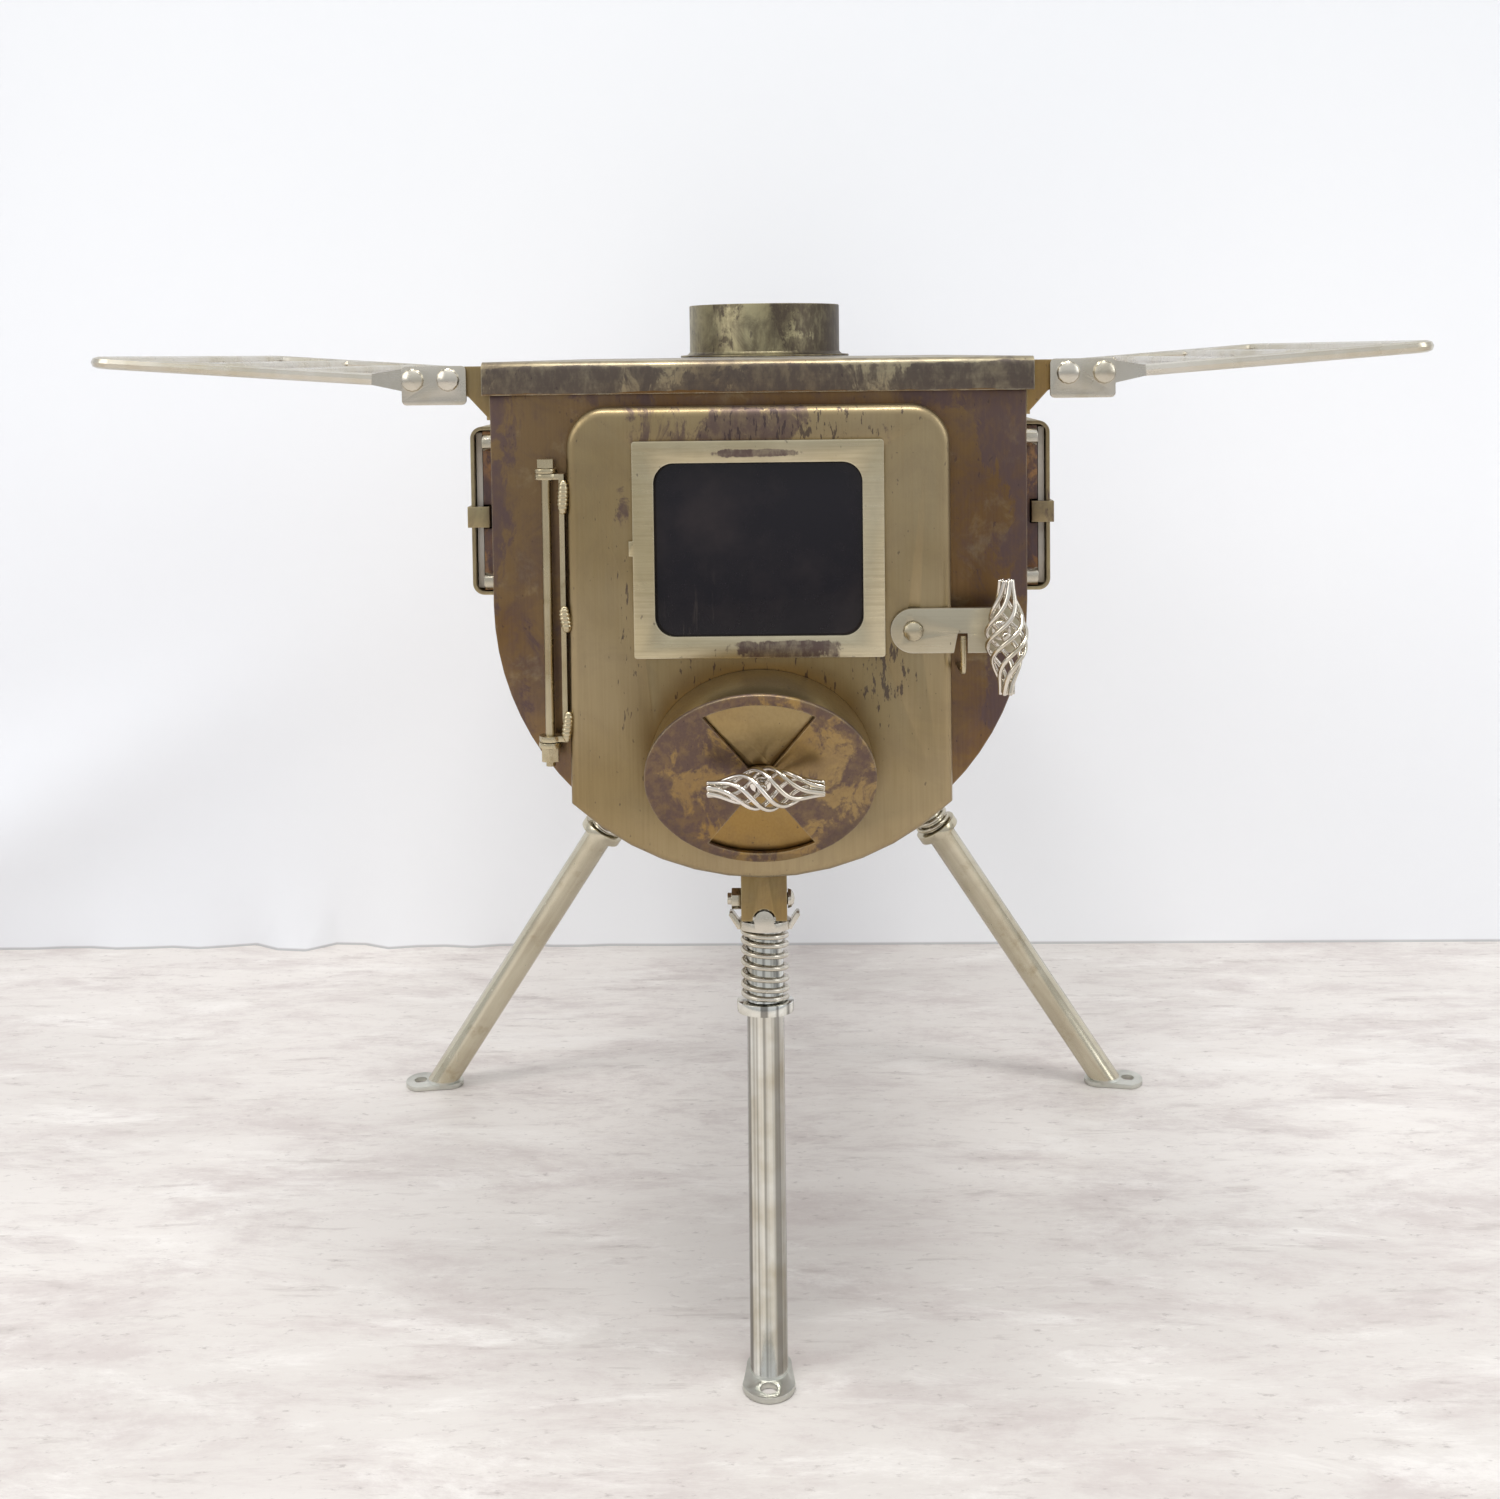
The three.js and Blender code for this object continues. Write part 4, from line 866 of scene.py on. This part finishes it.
def floor_look():
    """Pale printed vinyl: clouds, worn streaks across the view, and fine dark flecks."""
    g = Graph("floor_vinyl")
    base = g.noise(2.6, (0.45, 1, 1), detail=4, rough=0.55)
    colour = g.mix(g.fit(base, 0.36, 0.62), linear(232, 226, 220), linear(217, 211, 205))
    clouds = g.noise(17, (0.5, 1.4, 1), detail=11, rough=0.8, warp=0.3)
    colour = g.mix(g.fit(clouds, 0.44, 0.64, 0, 0.7), colour, linear(198, 187, 183))
    pale = g.noise(22, (0.4, 1.4, 1), detail=10, rough=0.78, warp=0.4, shift=5)
    colour = g.mix(g.fit(pale, 0.5, 0.68, 0, 0.6), colour, linear(242, 238, 233))
    scrapes = g.noise(80, (0.2, 1.2, 1), detail=7, rough=0.72, warp=0.3, shift=8)
    colour = g.mix(g.fit(scrapes, 0.56, 0.68, 0, 0.42), colour, linear(176, 165, 160))
    flecks = g.noise(210, (0.5, 1.2, 1), detail=6, rough=0.75, shift=12)
    colour = g.mix(g.fit(flecks, 0.57, 0.7, 0, 0.5), colour, linear(150, 138, 134))
    rough = g.fit(scrapes, 0.4, 0.7, 0.42, 0.55)
    height = g.total(g.times(clouds, 0.5), g.times(scrapes, 0.5))
    return g.finish(colour, rough, 0.0, g.relief(height, 0.15, 0.0006))


def curtain_look():
    """White cloth that shows only from the stove's side, so that views from behind pass it."""
    g = Graph("curtain_cloth")
    z = g.axes[2]
    tone = g.noise(1.1, (1, 1, 0.25), detail=2)
    colour = g.mix(g.fit(tone, 0.4, 0.6), linear(247, 248, 250), linear(241, 243, 247))
    weave = g.noise(1500, detail=1)
    # Painted shade: the cloth turns greyer towards the top.
    colour = g.mix(g.fit(z, 0.25, 0.9), colour, linear(222, 224, 227))
    # Painted shadow: a thin dark line along the hem, where the cloth meets the floor.
    colour = g.mix(g.fit(z, 0.0004, 0.0022, 0.55, 0), colour, linear(150, 148, 146))
    g.finish(colour, 0.9, 0.0, g.relief(weave, 0.05, 0.0002))
    behind = g.add("ShaderNodeNewGeometry").outputs["Backfacing"]
    clear = g.add("ShaderNodeBsdfTransparent").outputs[0]
    inputs = {0: behind, 1: g.shader.outputs[0], 2: clear}
    shown = g.add("ShaderNodeMixShader", inputs).outputs[0]
    g.feed(g.tree.nodes["Material Output"].inputs["Surface"], shown)
    return g.material


FLOOR_Z = -0.0003
FLOOR_REACH = (-3, 3)
CURTAIN_Y = 0.34
CURTAIN_WIDTH, CURTAIN_HEIGHT = (-1.6, 1.6), (0, 1.8)


def swell_at(x, z, centre, height, width, depth):
    """A soft rise of the cloth round one point, width and depth being its reach."""
    return math.exp(-(((x - centre) / width) ** 2) - ((z - height) / depth) ** 2)


def curtain_point(x, z):
    """Cloth that hangs almost flat, with a few broad folds and a crumpled hem at the left."""
    broad = 0.012 * math.sin(4.2 * x + 0.8 * z) * min(1.0, z / 0.35)
    drag = 0.018 * swell_at(x, z - 0.5 * (x + 0.5), -0.62, 0.12, 0.2, 0.05)
    hem = math.exp(-z / 0.02) * swell_at(x, 0, -0.33, 0, 0.14, 1)
    crumple = hem * (0.006 * math.sin(95 * x) + 0.004 * math.sin(61 * x + 1))
    return (x, CURTAIN_Y + broad - drag + crumple, z - 0.002)


def build_stage():
    floor = grid_mesh("floor", FLOOR_REACH, FLOOR_REACH, 2, 2, lambda x, y: (x, y, FLOOR_Z))
    floor.data.materials.append(floor_look())
    curtain = grid_mesh("curtain", CURTAIN_WIDTH, CURTAIN_HEIGHT, 160, 60, curtain_point)
    curtain.data.materials.append(curtain_look())


# The world's strength: how high a direction points, and how bright the room is there.
WORLD_LOW, WORLD_HIGH = -0.25, 0.45
WORLD_DIM, WORLD_BRIGHT = 0.46, 0.82
WORLD_COLOUR = (0.95, 0.97, 1.0, 1)

# Each lamp: its name, place, what it points at, size, watts and colour.
LAMPS = [
    ("ceiling_lamp", (0.3, -0.6, 1.9), (0, 0, 0), (0.5, 0.14), 9, (1, 1, 1)),
    ("second_ceiling_lamp", (-0.4, -0.5, 1.9), (0, 0, 0), (0.5, 0.14), 8, (1, 1, 1)),
    ("left_lamp", (-1.6, -1.0, 1.3), (0, 0, 0.3), (0.9, 1.2), 7, (1, 0.98, 0.95)),
    ("right_lamp", (1.7, -0.7, 1.1), (0, 0, 0.3), (0.5, 1.3), 5, (0.95, 0.98, 1)),
]


def area_lamp(name, place, aim, size, power, colour):
    data = bpy.data.lights.new(name, "AREA")
    data.shape = "RECTANGLE"
    data.size, data.size_y = size
    data.energy = power
    data.color = colour
    lamp = bpy.data.objects.new(name, data)
    lamp.location = place
    lamp.rotation_euler = (Vector(aim) - Vector(place)).to_track_quat("-Z", "Y").to_euler()
    bpy.context.scene.collection.objects.link(lamp)


def build_light():
    """A pale room that is brighter overhead than below, and soft lamps above and at both sides."""
    world = bpy.data.worlds.new("studio")
    bpy.context.scene.world = world
    world.use_nodes = True
    nodes, links = world.node_tree.nodes, world.node_tree.links
    nodes.clear()
    ways = nodes.new("ShaderNodeTexCoord")
    parts = nodes.new("ShaderNodeSeparateXYZ")
    links.new(ways.outputs["Generated"], parts.inputs[0])
    level = nodes.new("ShaderNodeMapRange")
    for socket, value in zip(level.inputs[1:5], (WORLD_LOW, WORLD_HIGH, WORLD_DIM, WORLD_BRIGHT)):
        socket.default_value = value
    links.new(parts.outputs[2], level.inputs[0])
    back = nodes.new("ShaderNodeBackground")
    back.inputs[0].default_value = WORLD_COLOUR
    links.new(level.outputs[0], back.inputs[1])
    end = nodes.new("ShaderNodeOutputWorld")
    links.new(back.outputs[0], end.inputs[0])
    for lamp in LAMPS:
        area_lamp(*lamp)


# The photograph's camera: it stood low in front, looked down a little, and the photograph is
# the lower part of its picture, so the view is shifted.
EYE = spot(9.8, -649.2, 427.6)
LOOK_DOWN = math.radians(2.66)
ROLL = math.radians(0.71)
LOOK_LEFT = math.radians(1.1)
LENS_MM, SENSOR_MM = 38.75, 36.0
SHIFT_Y = -0.2138
CLIP_START = 0.02


def build_camera():
    data = bpy.data.cameras.new("camera")
    data.sensor_width = SENSOR_MM
    data.lens = LENS_MM
    data.shift_y = SHIFT_Y
    data.clip_start = CLIP_START
    camera = bpy.data.objects.new("camera", data)
    camera.location = EYE
    camera.rotation_euler = (math.pi / 2 - LOOK_DOWN, ROLL, LOOK_LEFT)
    bpy.context.scene.collection.objects.link(camera)
    bpy.context.scene.camera = camera


build_stage()
build_light()
build_camera()
bpy.context.scene.view_settings.view_transform = "Standard"
